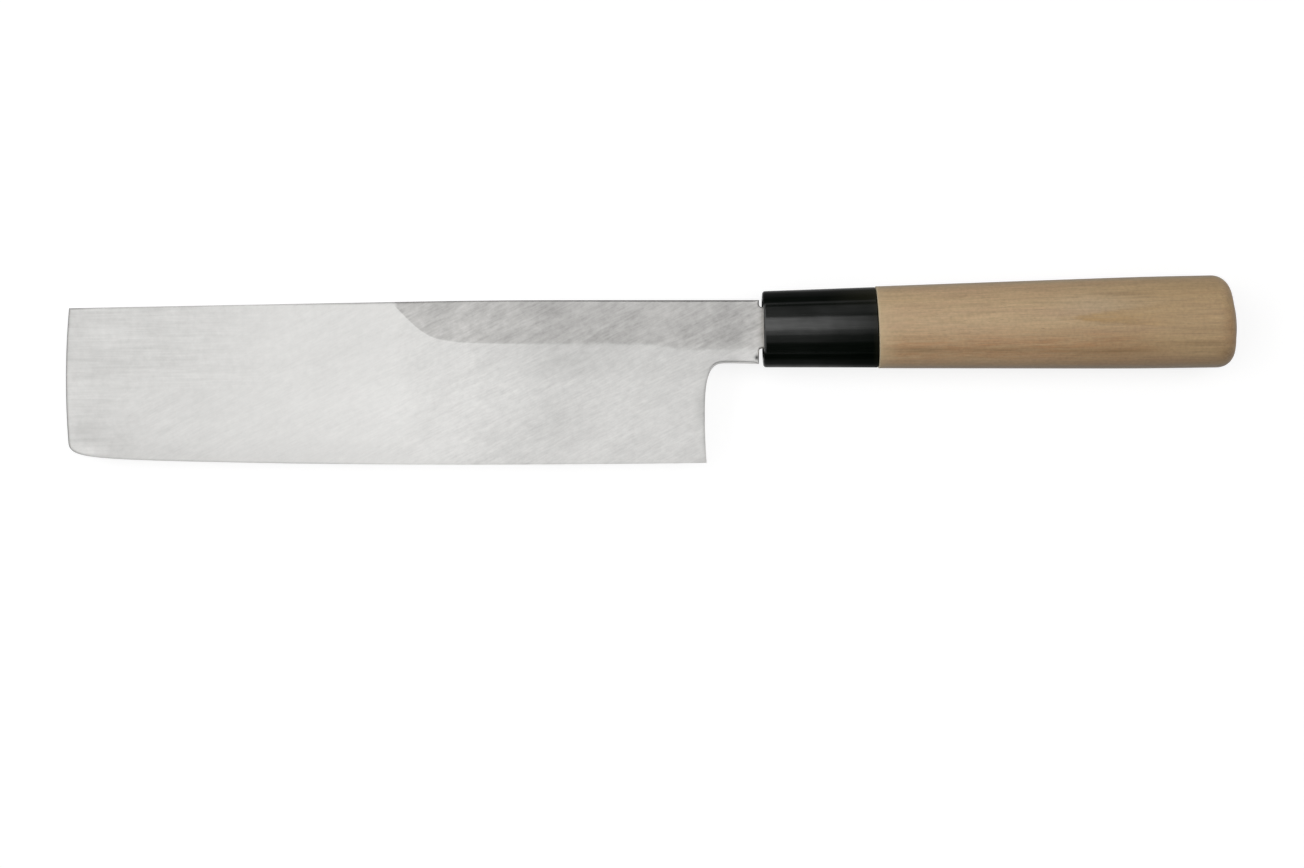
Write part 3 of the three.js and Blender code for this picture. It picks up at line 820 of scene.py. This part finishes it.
def mix_colours(tree, share, first, second, blend_type="MIX"):
    """The first colour at share 0 and the second at share 1."""
    colours = [value if is_socket(value) else (*value, 1.0) for value in (first, second)]
    return add(tree, "ShaderNodeMix", {0: share, 6: colours[0], 7: colours[1]}, 2,
               data_type="RGBA", blend_type=blend_type)


def read(tree, name):
    """A number that the mesh carries for each point."""
    return add(tree, "ShaderNodeAttribute", {}, "Fac", attribute_name=name)


def read_times(tree, name, amount):
    """A number that the mesh carries, times a constant or another value."""
    return combine(tree, "MULTIPLY", read(tree, name), amount)


def new_group(name, inputs, outputs):
    """An empty shader node group with named sockets, its inside inputs and its inside outputs."""
    tree = bpy.data.node_groups.new(name, "ShaderNodeTree")
    for socket, kind in inputs:
        tree.interface.new_socket(socket, in_out="INPUT", socket_type="NodeSocket" + kind)
    for socket, kind in outputs:
        tree.interface.new_socket(socket, in_out="OUTPUT", socket_type="NodeSocket" + kind)
    return tree, tree.nodes.new("NodeGroupInput").outputs, tree.nodes.new("NodeGroupOutput").inputs


def new_finish(piece, name):
    """A new material on the piece: its tree, its Principled shader and the object's coordinates."""
    made = bpy.data.materials.new(name)
    made.use_nodes = True
    tree = made.node_tree
    tree.nodes.clear()
    shader = tree.nodes.new("ShaderNodeBsdfPrincipled")
    surface = tree.nodes.new("ShaderNodeOutputMaterial").inputs["Surface"]
    tree.links.new(shader.outputs[0], surface)
    piece.data.materials.append(made)
    return tree, shader, add(tree, "ShaderNodeTexCoord", {}, "Object")


# %% The streak group
def build_streaks():
    """Noise on coordinates that are turned about Z and divided by the streaks' length and width."""
    numbers = [(name, "Float") for name in ("Angle", "Length", "Width", "Detail")]
    tree, given, out = new_group("streaks", [("Vector", "Vector"), *numbers], [("Streaks", "Float")])
    turned = add(tree, "ShaderNodeVectorRotate", {"Vector": given["Vector"], "Angle": given["Angle"]},
                 rotation_type="Z_AXIS")
    size = add(tree, "ShaderNodeCombineXYZ", {
        "X": given["Length"], "Y": given["Width"], "Z": given["Width"]})
    scaled = add(tree, "ShaderNodeVectorMath", {0: turned, 1: size}, operation="DIVIDE")
    noise = add(tree, "ShaderNodeTexNoise", {
        "Vector": scaled, "Scale": 1.0, "Detail": given["Detail"], "Roughness": 0.6})
    tree.links.new(noise, out["Streaks"])
    return tree


streaks = build_streaks()


def streak(tree, coordinates, angle, length, width, detail=2.0):
    """The streak group at an angle in degrees above +X, with its sizes in millimetres."""
    return add(tree, "ShaderNodeGroup", {
        "Vector": coordinates, "Angle": math.radians(-angle), "Length": length * MM, "Width": width * MM,
        "Detail": detail}, node_tree=streaks)


print("Group:", streaks.name, [item.name for item in streaks.interface.items_tree])

# %% [markdown]
# ## Steel from the wheel
# The blade is ground across a big wet wheel and then rubbed along a belt, and both leave marks: slanting
# ones nearly everywhere and level ones at the tip. The two steels are ground together, so they share one
# group, which gives a tone to multiply the colour by and a height for the bump. The flat side is left
# duller than the bevel. Where it ends is a number on the mesh, so the line stays on the ridge.

# %% Grinding marks
CLOUD_SIZES = (14.0, 1.8, 0.6)
BROAD_HEIGHT = 0.6
BEVEL_COLOUR = (0.76, 0.755, 0.74)
FLAT_COLOUR = (0.385, 0.379, 0.37)


def sum_of_noise(tree, parts):
    """1 plus the share of each noise times its distance from one half."""
    total = 1.0 - sum(share for _, share in parts) / 2.0
    for noise, share in parts:
        total = add(tree, "ShaderNodeMath", {0: noise, 1: share, 2: total}, operation="MULTIPLY_ADD")
    return total


def build_grind():
    """Tone: 1 plus small shares of streaks, clouds, mottling and grain. Height: the streaks alone."""
    tree, given, out = new_group(
        "grind_marks", [("Vector", "Vector"), ("Level", "Float")], [("Tone", "Float"), ("Height", "Float")])
    place = given["Vector"]
    fine = add(tree, "ShaderNodeMix", {
        0: given["Level"], 2: streak(tree, place, 26.0, 3.4, 0.48), 3: streak(tree, place, 1.0, 12.0, 0.6)})
    broad = add(tree, "ShaderNodeMix", {
        0: given["Level"], 2: streak(tree, place, 27.0, 14.0, 1.7), 3: streak(tree, place, 0.5, 36.0, 1.6)})
    clouds, mottle, grain = (
        add(tree, "ShaderNodeTexNoise", {"Vector": place, "Scale": 1.0 / (size * MM), "Detail": 2.0})
        for size in CLOUD_SIZES)
    tone = sum_of_noise(tree, [(fine, 0.12), (broad, 0.11), (clouds, 0.09), (mottle, 0.09), (grain, 0.05)])
    tree.links.new(tone, out["Tone"])
    tree.links.new(combine(tree, "ADD", fine, combine(tree, "MULTIPLY", broad, BROAD_HEIGHT)), out["Height"])
    return tree


grind_marks = build_grind()


def ground_steel(piece, name):
    """Metal whose colour goes from bevel to flat over the ridge and is multiplied by the grinding's tone."""
    tree, shader, place = new_finish(piece, name)
    marks = tree.nodes.new("ShaderNodeGroup")
    marks.node_tree = grind_marks
    tree.links.new(place, marks.inputs["Vector"])
    tree.links.new(read(tree, "level"), marks.inputs["Level"])
    colour = mix_colours(tree, read(tree, "flat_side"), BEVEL_COLOUR, FLAT_COLOUR)
    swing = read_times(tree, "marks", combine(tree, "SUBTRACT", marks.outputs["Tone"], 1.0))
    # Polish with painted light and shade, read from the mesh, scales the colour.
    tone = read_times(tree, "polish_and_light", combine(tree, "ADD", swing, 1.0))
    colour = add(tree, "ShaderNodeVectorMath", {0: colour, "Scale": tone}, operation="SCALE")
    bump = add(tree, "ShaderNodeBump", {
        "Height": marks.outputs["Height"], "Strength": 0.25, "Distance": 0.02 * MM})
    tree.links.new(colour, shader.inputs["Base Color"])
    tree.links.new(remap(tree, marks.outputs["Tone"], 0.9, 1.1, 0.46, 0.36), shader.inputs["Roughness"])
    tree.links.new(bump, shader.inputs["Normal"])
    shader.inputs["Metallic"].default_value = 1.0


ground_steel(iron, "soft_iron")
ground_steel(steel, "hard_steel")
print("Steel finished on", iron.name, "and", steel.name)

# %% [markdown]
# ## Black horn
# Water buffalo horn is nearly black, with faint fibres along its length, and takes a high polish. The
# polish is a clear coat here, because how much of it is left differs from place to place: it is worn thin
# on the flanks and, towards the wood, on the side where the thumb rests. The end at the joint is thin
# enough to look olive brown.

# %% Polish left on the horn
FLANK = (0.58, 0.68)
FLANK_WEAR = 0.9
RIM_EASES = (0.76, 0.86)
# Above the middle and below it
INNER_WEAR = (0.05, 0.08)
RIM = (0.9, 1.0)
RIM_GLOSS = 0.25
THUMB_ALONG = (0.25, 1.1)
THUMB_RISE = (0.28, 0.42)
THUMB_WEAR = 0.72
JOINT_END = (0.94, 1.0)
JOINT_TOP_ALONG = (0.5, 1.0)
JOINT_TOP_RISE = (0.4, 0.9)
JOINT_SHARES = (0.2, 0.5)

horn_points = np.arange(ferrule_grid[..., 0].size)
cosine, sine = math.cos(HANDLE_CANT), math.sin(HANDLE_CANT)
horn_along = np.broadcast_to((ferrule_x / FERRULE_LENGTH)[:, None], ferrule_grid.shape[:2])
horn_rise = (ferrule_grid[..., 1] * cosine - ferrule_grid[..., 0] * sine) / ferrule_halves[:, :1]
off_middle = np.abs(horn_rise)
more_wear = np.where(horn_rise > 0.0, *INNER_WEAR) * (1.0 - smooth_step(off_middle, *RIM_EASES))
flank = (FLANK_WEAR + more_wear) * smooth_step(off_middle, *FLANK)
thumb = smooth_step(horn_along, *THUMB_ALONG) * (1.0 - smooth_step(horn_rise, *THUMB_RISE))
gloss_left = (1.0 - flank + RIM_GLOSS * smooth_step(off_middle, *RIM)) * (1.0 - THUMB_WEAR * thumb)
joint_top = smooth_step(horn_along, *JOINT_TOP_ALONG) * smooth_step(horn_rise, *JOINT_TOP_RISE)
thin_end = JOINT_SHARES[0] * smooth_step(horn_along, *JOINT_END) + JOINT_SHARES[1] * joint_top
lend(ferrule, "gloss", gloss_left, horn_points)
lend(ferrule, "near_joint", thin_end, horn_points)
print("Polish left on the horn, least and most:", gloss_left.min().round(2), gloss_left.max().round(2))

# %% Horn
HORN_BLACK = (0.0006, 0.0018, 0.0008)
HORN_FIBRE = (0.002, 0.0036, 0.0022)
HORN_OLIVE = (0.03, 0.028, 0.016)
SWIRLS_A_METRE = 160.0


def polished_horn(piece):
    """Dark fibres under a clear coat whose weight is the polish left, wavering with the fibres."""
    tree, shader, place = new_finish(piece, "black_horn")
    fibres = streak(tree, place, 1.0, 9.0, 0.3)
    swirl = add(tree, "ShaderNodeTexNoise", {"Vector": place, "Scale": SWIRLS_A_METRE, "Detail": 2.0})
    colour = mix_colours(tree, remap(tree, fibres, 0.35, 0.7, 0.0, 1.0), HORN_BLACK, HORN_FIBRE)
    colour = mix_colours(tree, read(tree, "near_joint"), colour, HORN_OLIVE)
    gloss = read_times(tree, "gloss", remap(tree, fibres, 0.3, 0.7, 0.86, 1.1))
    gloss = combine(tree, "MULTIPLY", gloss, remap(tree, swirl, 0.3, 0.7, 0.8, 1.14))
    waver = combine(tree, "ADD", swirl, combine(tree, "MULTIPLY", fibres, 0.5))
    bump = add(tree, "ShaderNodeBump", {"Height": waver, "Strength": 0.5, "Distance": 0.05 * MM})
    tree.links.new(colour, shader.inputs["Base Color"])
    tree.links.new(remap(tree, fibres, 0.3, 0.7, 0.42, 0.55), shader.inputs["Roughness"])
    tree.links.new(bump, shader.inputs["Normal"])
    tree.links.new(gloss, shader.inputs["Coat Weight"])
    shader.inputs["Coat Roughness"].default_value = 0.15
    shader.inputs["Coat IOR"].default_value = 1.55
    shader.inputs["Specular IOR Level"].default_value = 0.0


polished_horn(ferrule)
print("Horn finished with", len(ferrule.data.materials[0].node_tree.nodes), "nodes")

# %% [markdown]
# ## Magnolia
# Magnolia is an even, pale wood. What shows is faint: fibres along the handle, growth lines that open in
# a V near the butt where the cut runs out through a ring, a band of warmer streaks low on the side, and a
# few brown ones. The growth lines could come from a model of the whole tree, but only the part near the
# skin is ever seen. So each point carries how far behind the V it lies, measured along the grain, and
# noise over that number draws the lines.

# %% Growth lines
V_POINT = (85.8, 1.3)
V_ABOVE = (24.2, 3.2, 1.43)
V_BELOW = (45.3, 3.9, 1.67)
V_SQUEEZE = (8.0, 0.4)

grain_u = wood_grid[..., 0] * cosine + wood_grid[..., 1] * sine
grain_v = wood_grid[..., 1] * cosine - wood_grid[..., 0] * sine


def growth(u, v):
    """Millimetres behind a V whose two arms are power curves, squeezed more the farther away they are."""
    above, below = np.maximum(v - V_POINT[1], 0.0), np.maximum(V_POINT[1] - v, 0.0)
    arm = V_ABOVE[0] * (above / V_ABOVE[1]) ** V_ABOVE[2] + V_BELOW[0] * (below / V_BELOW[1]) ** V_BELOW[2]
    behind = u - V_POINT[0] - arm
    reach, power = V_SQUEEZE
    return behind / (1.0 + np.abs(behind) / reach) ** power


number = growth(grain_u, grain_v)
behind_v = grain_u - V_POINT[0]
print("Growth number from", number.min().round(1), "to", number.max().round(1))

# %% Streaks, bands, rims and painted shade as numbers on the mesh
TONGUE_RISE = (-0.9, 1.2)
TONGUE_FADE = (0.9, 3.0, 32.0)
V_FADE_RUN = (7.0, 36.0)
V_FADES = (0.92, 0.45)
V_START = (1.0, 14.0)
BROWN_STREAKS = (
    (100.0, 7.8, 7.0, 0.5),
    (96.0, -8.0, 15.0, 0.7),
    (43.0, -6.8, 10.0, 0.8),
    (64.0, -7.3, 17.0, 0.8),
    (122.0, -6.2, 9.0, 0.6),
    (125.0, -2.6, 9.0, 0.3),
    (130.0, -9.4, 3.5, 1.8),
)
WARM_BAND = (-0.52, 0.32)
WARM_START = (31.0, 40.0)
WARM_STOP = (92.0, 118.0)
WARM_BUTT = (132.0, -4.0, 4.0, 5.5)
WARM_BUTT_SHARE = 0.8
PALE_PATCH = (93.0, 5.0, 12.0, 3.2)
# Painted shade towards the butt.
BUTT_SHADE_RUN = (joint_x + 20.0, butt_x - 15.0)
# Painted shade on the lower side of the handle.
LOW_SIDE_SHADE_RISE = (0.62, 1.0)
# Painted shade on the butt's rounded end.
END_RIM_SHADE_RUN = (butt_x - 2.6, butt_x - 0.6)
# Painted shade and sheen on the top and bottom rims of the handle.
GRAZING_RISE = (0.9, 1.0)
# Painted highlight on the wood's edge at the joint.
EDGE_HIGHLIGHT_RUN = (joint_x + 0.1, joint_x + 0.32)
FRESH_RUN = 2.2

wood_along = np.broadcast_to(wood_x[:, None], grain_u.shape)
height_share = grain_v / (FULL_SIZE[0] / 2)
ring_half = np.maximum(np.abs(grain_v).max(axis=1, keepdims=True), 1.0)
band_place, band_width = WARM_BAND
warm = np.exp(-(((height_share - band_place) / band_width) ** 2)) * (1.0 - smooth_step(grain_u, *WARM_STOP))
warm = warm * smooth_step(grain_u, *WARM_START) + WARM_BUTT_SHARE * stroke(grain_u, grain_v, *WARM_BUTT)
tongue_loss, *tongue_run = TONGUE_FADE
wood_numbers = {
    "growth": number,
    "tongue": smooth_step(number, *TONGUE_RISE) * (1.0 - tongue_loss * smooth_step(behind_v, *tongue_run)),
    "brown": sum(stroke(grain_u, grain_v, *streak_place) for streak_place in BROWN_STREAKS),
    "warm": warm,
    "v_fade": 1.0 - smooth_step(behind_v, *V_FADE_RUN) * np.where(grain_v > V_POINT[1], *V_FADES),
    "v_start": smooth_step(behind_v, *V_START),
    "pale": stroke(grain_u, grain_v, *PALE_PATCH),
    # Painted shade towards the butt.
    "butt_shade": smooth_step(wood_along, *BUTT_SHADE_RUN),
    # Painted shade on the lower side of the handle.
    "low_side_shade": smooth_step(-height_share, *LOW_SIDE_SHADE_RISE),
    # Painted shade on the butt's rounded end.
    "end_rim_shade": smooth_step(wood_along, *END_RIM_SHADE_RUN),
    # Painted shade and sheen on the top and bottom rims of the handle.
    "grazing_shade_and_sheen": smooth_step(np.abs(grain_v) / ring_half, *GRAZING_RISE),
    # Painted highlight on the wood's edge at the joint.
    "edge_highlight": 1.0 - smooth_step(wood_along, *EDGE_HIGHLIGHT_RUN),
    "fresh": np.exp(-np.maximum(wood_along - joint_x, 0.0) / FRESH_RUN),
}
for name, values in wood_numbers.items():
    lend(wood, name, values, np.arange(grain_u.size))
print("Numbers on the wood:", ", ".join(wood_numbers))

# %% [markdown]
# The wood's colour is built up in layers: the growth lines first, then the streaks and the tongue of darker
# wood, then painted shade towards the butt, on the lower side and on the butt's rounded end, painted shade
# and sheen on the top and bottom rims, the pores, and last the pale wood at the joint with a painted
# highlight on its edge.

# %% Magnolia wood
PALE_WOOD = (0.605, 0.44, 0.258)
LATE_WOOD = (0.555, 0.392, 0.222)
BLUSH_WOOD = (0.555, 0.375, 0.225)
WARM_WOOD = (0.48, 0.275, 0.14)
TONGUE_WOOD = (0.49, 0.305, 0.12)
BROWN_WOOD = (0.335, 0.215, 0.11)
PATCH_WOOD = (0.6, 0.475, 0.325)
# Several tints and colours below are painted shade, painted sheen and a painted highlight; the pore and
# fresh wood colours are the wood's own.
BUTT_SHADE_TINT = (0.84, 0.81, 0.75)
LOW_SIDE_SHADE_TINT = (0.765, 0.75, 0.77)
END_RIM_SHADE_WOOD = (0.13, 0.1, 0.06)
GRAZING_SHADE_AND_SHEEN = (0.3, 0.27, 0.22)
PORE_WOOD = (0.2, 0.125, 0.07)
FRESH_WOOD = (0.68, 0.52, 0.31)
EDGE_HIGHLIGHT_WOOD = (0.62, 0.53, 0.36)
NAP_SIZE = 0.9


def growth_colour(tree, place):
    """Pale and late wood mixed by noise over the growth number, which drifts, and a blush."""
    drift = combine(tree, "MULTIPLY", streak(tree, place, 1.5, 30.0, 3.0), 4.0)
    pushed = combine(tree, "ADD", read_times(tree, "growth", 0.32), drift)
    lines = add(tree, "ShaderNodeTexNoise", {"W": pushed, "Scale": 1.0, "Detail": 3.0},
                noise_dimensions="1D")
    blush = streak(tree, place, 1.5, 26.0, 3.0)
    colour = mix_colours(tree, remap(tree, lines, 0.32, 0.68, 0.0, 1.0), PALE_WOOD, LATE_WOOD)
    return mix_colours(tree, remap(tree, blush, 0.45, 0.7, 0.0, 0.7), colour, BLUSH_WOOD)


def streaked(tree, colour, fibres, bands, tufts):
    """The warm band, the tongue, brown streaks with the wavering line of the V, and the pale patch."""
    warm = read_times(tree, "warm", remap(tree, tufts, 0.38, 0.62, 0.3, 1.0))
    colour = mix_colours(tree, warm, colour, WARM_WOOD)
    tongue = read_times(tree, "tongue", remap(tree, tufts, 0.3, 0.6, 0.45, 0.95))
    colour = mix_colours(tree, tongue, colour, TONGUE_WOOD)
    waver = combine(tree, "ADD", read(tree, "growth"), remap(tree, bands, 0.3, 0.7, -0.9, 0.9))
    near_line = remap(tree, combine(tree, "ABSOLUTE", waver, 0.0), 0.0, 1.8, 1.0, 0.0)
    v_fade = read_times(tree, "v_fade", remap(tree, tufts, 0.36, 0.56, 0.25, 1.0))
    v_line = combine(tree, "MULTIPLY", near_line, v_fade)
    v_line = combine(tree, "MULTIPLY", v_line, remap(tree, read(tree, "v_start"), 0.0, 1.0, 0.1, 0.9))
    brown = combine(tree, "MAXIMUM", read(tree, "brown"), v_line)
    brown = combine(tree, "MULTIPLY", brown, remap(tree, fibres, 0.35, 0.62, 0.1, 1.0))
    colour = mix_colours(tree, brown, colour, BROWN_WOOD)
    return mix_colours(tree, read_times(tree, "pale", 0.55), colour, PATCH_WOOD)


def painted_light_pores_and_joint(tree, place, colour):
    """Painted shade towards the butt, below and on the butt's end, painted shade and sheen on the rims,
    pores, fresh wood at the joint and a painted highlight on its edge.
    """
    # Painted shade towards the butt.
    butt_shaded = mix_colours(tree, 1.0, colour, BUTT_SHADE_TINT, "MULTIPLY")
    colour = mix_colours(tree, read(tree, "butt_shade"), colour, butt_shaded)
    # Painted shade on the lower side of the handle.
    low_side_shaded = mix_colours(tree, 1.0, colour, LOW_SIDE_SHADE_TINT, "MULTIPLY")
    colour = mix_colours(tree, read(tree, "low_side_shade"), colour, low_side_shaded)
    # Painted shade on the butt's rounded end.
    colour = mix_colours(tree, read_times(tree, "end_rim_shade", 0.6), colour, END_RIM_SHADE_WOOD)
    # Painted shade and sheen on the top and bottom rims of the handle.
    colour = mix_colours(tree, read_times(tree, "grazing_shade_and_sheen", 0.5), colour, GRAZING_SHADE_AND_SHEEN)
    pores = streak(tree, place, 1.5, 1.8, 0.14, 0.0)
    colour = mix_colours(tree, remap(tree, pores, 0.68, 0.8, 0.0, 0.35), colour, PORE_WOOD)
    colour = mix_colours(tree, read_times(tree, "fresh", 0.5), colour, FRESH_WOOD)
    # Painted highlight on the wood's edge at the joint.
    return mix_colours(tree, read(tree, "edge_highlight"), colour, EDGE_HIGHLIGHT_WOOD)


def magnolia_wood(piece):
    """Growth lines and streaks, times a tone of fibres, bands, tufts and nap, then painted shade and sheen,
    pores and the joint's colours.
    """
    tree, shader, place = new_finish(piece, "magnolia")
    fibres = streak(tree, place, 1.5, 16.0, 0.36)
    bands = streak(tree, place, 1.5, 24.0, 1.0, 3.0)
    tufts = streak(tree, place, 2.0, 9.0, 0.7, 3.0)
    nap = add(tree, "ShaderNodeTexNoise", {"Vector": place, "Scale": 1.0 / (NAP_SIZE * MM), "Detail": 2.0})
    colour = streaked(tree, growth_colour(tree, place), fibres, bands, tufts)
    tone = sum_of_noise(tree, [(fibres, 0.5), (bands, 0.26), (tufts, 0.2), (nap, 0.34)])
    colour = add(tree, "ShaderNodeVectorMath", {0: colour, "Scale": tone}, operation="SCALE")
    bump = add(tree, "ShaderNodeBump", {"Height": fibres, "Strength": 0.3, "Distance": 0.05 * MM})
    tree.links.new(painted_light_pores_and_joint(tree, place, colour), shader.inputs["Base Color"])
    tree.links.new(remap(tree, fibres, 0.3, 0.7, 0.52, 0.64), shader.inputs["Roughness"])
    tree.links.new(bump, shader.inputs["Normal"])


magnolia_wood(wood)
print("Wood finished with", len(wood.data.materials[0].node_tree.nodes), "nodes")

# %% [markdown]
# ## Studio
# The photograph looks straight down on a white table. Long soft boxes hang over the knife, from straight
# above towards the spine: the edges of the brightest two are the edges of the shine along the ferrule.
# Beyond them the light fades into a dim room. Two more boxes past the ends of the knife fill its shadows
# without showing in its reflections. The floor and a round backdrop far away could be lit to white, but
# that would light the knife too. They are grey paint lifted to white only for what the camera and
# polished things see of them, so that the steel mirrors a white room from low down and the knife's shadow
# stays. Away from the lamps the lift grows, so that the floor runs into the backdrop without a line.

# %% Painted surfaces of the stage
PAINT = (0.32, 0.32, 0.32, 1.0)
LIFT_REACHES = (0.6, 2.5)
LIFTS = (0.8, 1.0)

scene = bpy.context.scene
scene.view_settings.view_transform = "Standard"


def seen_directly(tree):
    """1 for rays from the camera, a mirror or glass, and 0 for rays that only carry light."""
    path = tree.nodes.new("ShaderNodeLightPath").outputs
    mirror = combine(tree, "ADD", path["Is Glossy Ray"], path["Is Transmission Ray"])
    return add(tree, "ShaderNodeMath", {0: path["Is Camera Ray"], 1: mirror},
               operation="ADD", use_clamp=True)


def stage_piece(name, points, faces):
    """A surface of grey paint, plus a lift, larger far away, that only camera, mirrors and glass see."""
    mesh = bpy.data.meshes.new(name)
    mesh.from_pydata(points, [], faces)
    piece = bpy.data.objects.new(name, mesh)
    scene.collection.objects.link(piece)
    material = bpy.data.materials.new(name)
    material.use_nodes = True
    tree = material.node_tree
    tree.nodes.clear()
    paint = add(tree, "ShaderNodeBsdfDiffuse", {"Color": PAINT})
    place = add(tree, "ShaderNodeTexCoord", {}, "Object")
    away = add(tree, "ShaderNodeVectorMath", {0: place}, "Value", operation="LENGTH")
    lift = remap(tree, away, *LIFT_REACHES, *LIFTS)
    strength = combine(tree, "MULTIPLY", seen_directly(tree), lift)
    glow = add(tree, "ShaderNodeEmission", {"Strength": strength})
    surface = tree.nodes.new("ShaderNodeOutputMaterial").inputs["Surface"]
    tree.links.new(add(tree, "ShaderNodeAddShader", {0: paint, 1: glow}), surface)
    mesh.materials.append(material)
    return piece


# %% Floor, backdrop and world
FLOOR_GAP = 0.0002
FLOOR_REACH = 12.0
FLOOR_CORNERS = ((-1, -1), (1, -1), (1, 1), (-1, 1))
BACKDROP_TOP = math.radians(25.0)
BACKDROP_SIDES = 96
ROOM_LIGHT = 0.045

floor_z = cad_box[0][2] - FLOOR_GAP
stage_piece("floor", [(FLOOR_REACH * x, FLOOR_REACH * y, floor_z) for x, y in FLOOR_CORNERS], [(0, 1, 2, 3)])
turn = np.arange(BACKDROP_SIDES) * math.tau / BACKDROP_SIDES
wall_height = FLOOR_REACH * math.tan(BACKDROP_TOP)
low_rim = np.column_stack([FLOOR_REACH * np.cos(turn), FLOOR_REACH * np.sin(turn), floor_z + 0.0 * turn])
high_rim = low_rim + np.array([0.0, 0.0, wall_height])
here = np.arange(BACKDROP_SIDES)
ahead = np.roll(here, -1)
wall = np.stack([ahead, here, here + BACKDROP_SIDES, ahead + BACKDROP_SIDES], axis=1)
stage_piece("backdrop", np.concatenate([low_rim, high_rim]).tolist(), wall.tolist())

world = bpy.data.worlds.new("studio")
scene.world = world
world.use_nodes = True
world.node_tree.nodes["Background"].inputs["Color"].default_value = (1.0, 1.0, 1.0, 1.0)
world.node_tree.nodes["Background"].inputs["Strength"].default_value = ROOM_LIGHT
print("Backdrop in metres: radius", FLOOR_REACH, "height", round(wall_height, 2))

# %% Lamps
LAMP_HEIGHT = 1.2
LAMP_RUN = 2.4


def soft_box(name, place, tilt, size, radiance):
    """A rectangular lamp leaning about Y by a tilt. Its power is pi times its area times its radiance."""
    lamp = bpy.data.lights.new(name, "AREA")
    lamp.shape = "RECTANGLE"
    lamp.size, lamp.size_y = size
    lamp.energy = math.pi * lamp.size * lamp.size_y * radiance
    made = bpy.data.objects.new(name, lamp)
    scene.collection.objects.link(made)
    made.location = place
    made.rotation_euler = (0.0, tilt, 0.0)
    return made


def overhead_box(name, low_angle, high_angle, radiance):
    """A level lamp that fills the view between two angles from straight above, towards the spine."""
    low, high = (LAMP_HEIGHT * math.tan(math.radians(angle)) for angle in (low_angle, high_angle))
    return soft_box(name, (0.0, (low + high) / 2, LAMP_HEIGHT), 0.0, (LAMP_RUN, high - low), radiance)


def end_box(name, side, radiance, angle=46.0, away=1.5, size=(0.6, 2.8)):
    """A lamp past one end of the knife, long across it, that leans in to face it."""
    tilt = math.radians(angle)
    place = (side * away * math.sin(tilt), 0.0, away * math.cos(tilt))
    return soft_box(name, place, side * tilt, size, radiance)


lamps = [
    overhead_box("main_box", -1.0, 11.0, 2.0),
    overhead_box("upper_box", 11.0, 23.0, 1.75),
    overhead_box("fading_box", -11.0, -1.0, 0.85),
    overhead_box("faint_box", -30.0, -11.0, 0.25),
    overhead_box("high_box", 23.0, 55.0, 0.3),
    end_box("tip_box", -1.0, 1.6),
    end_box("butt_box", 1.0, 0.6),
]
print("Lamps in watts:", {lamp.name: round(lamp.data.energy, 2) for lamp in lamps})

# %% [markdown]
# ## Camera
# One pixel of the photograph is a known length on the knife, so the camera's place and lens follow from
# the pixel of the ferrule's mouth and from how far away the camera stands. The ovals of the handle's
# joint bow by an amount that fits a stand-off of about 0.8 m.

# %% Camera
PIXEL = 0.28125
PHOTO_CENTRE = (652.0, 434.0)
MOUTH_PIXEL = (762.8, 329.3)
PHOTO_WIDTH = 1304.0
CAMERA_DISTANCE = 800.0

camera_data = bpy.data.cameras.new("camera")
camera_data.sensor_width = 36.0
camera_data.lens = camera_data.sensor_width * CAMERA_DISTANCE / (PHOTO_WIDTH * PIXEL)
camera_data.clip_start = 0.01
camera = bpy.data.objects.new("camera", camera_data)
scene.collection.objects.link(camera)
view_x = (PHOTO_CENTRE[0] - MOUTH_PIXEL[0]) * PIXEL
view_y = (MOUTH_PIXEL[1] - PHOTO_CENTRE[1]) * PIXEL
camera.location = to_frame([view_x, view_y, axis_z + CAMERA_DISTANCE])
scene.camera = camera
print("Lens in mm:", round(camera_data.lens, 1))
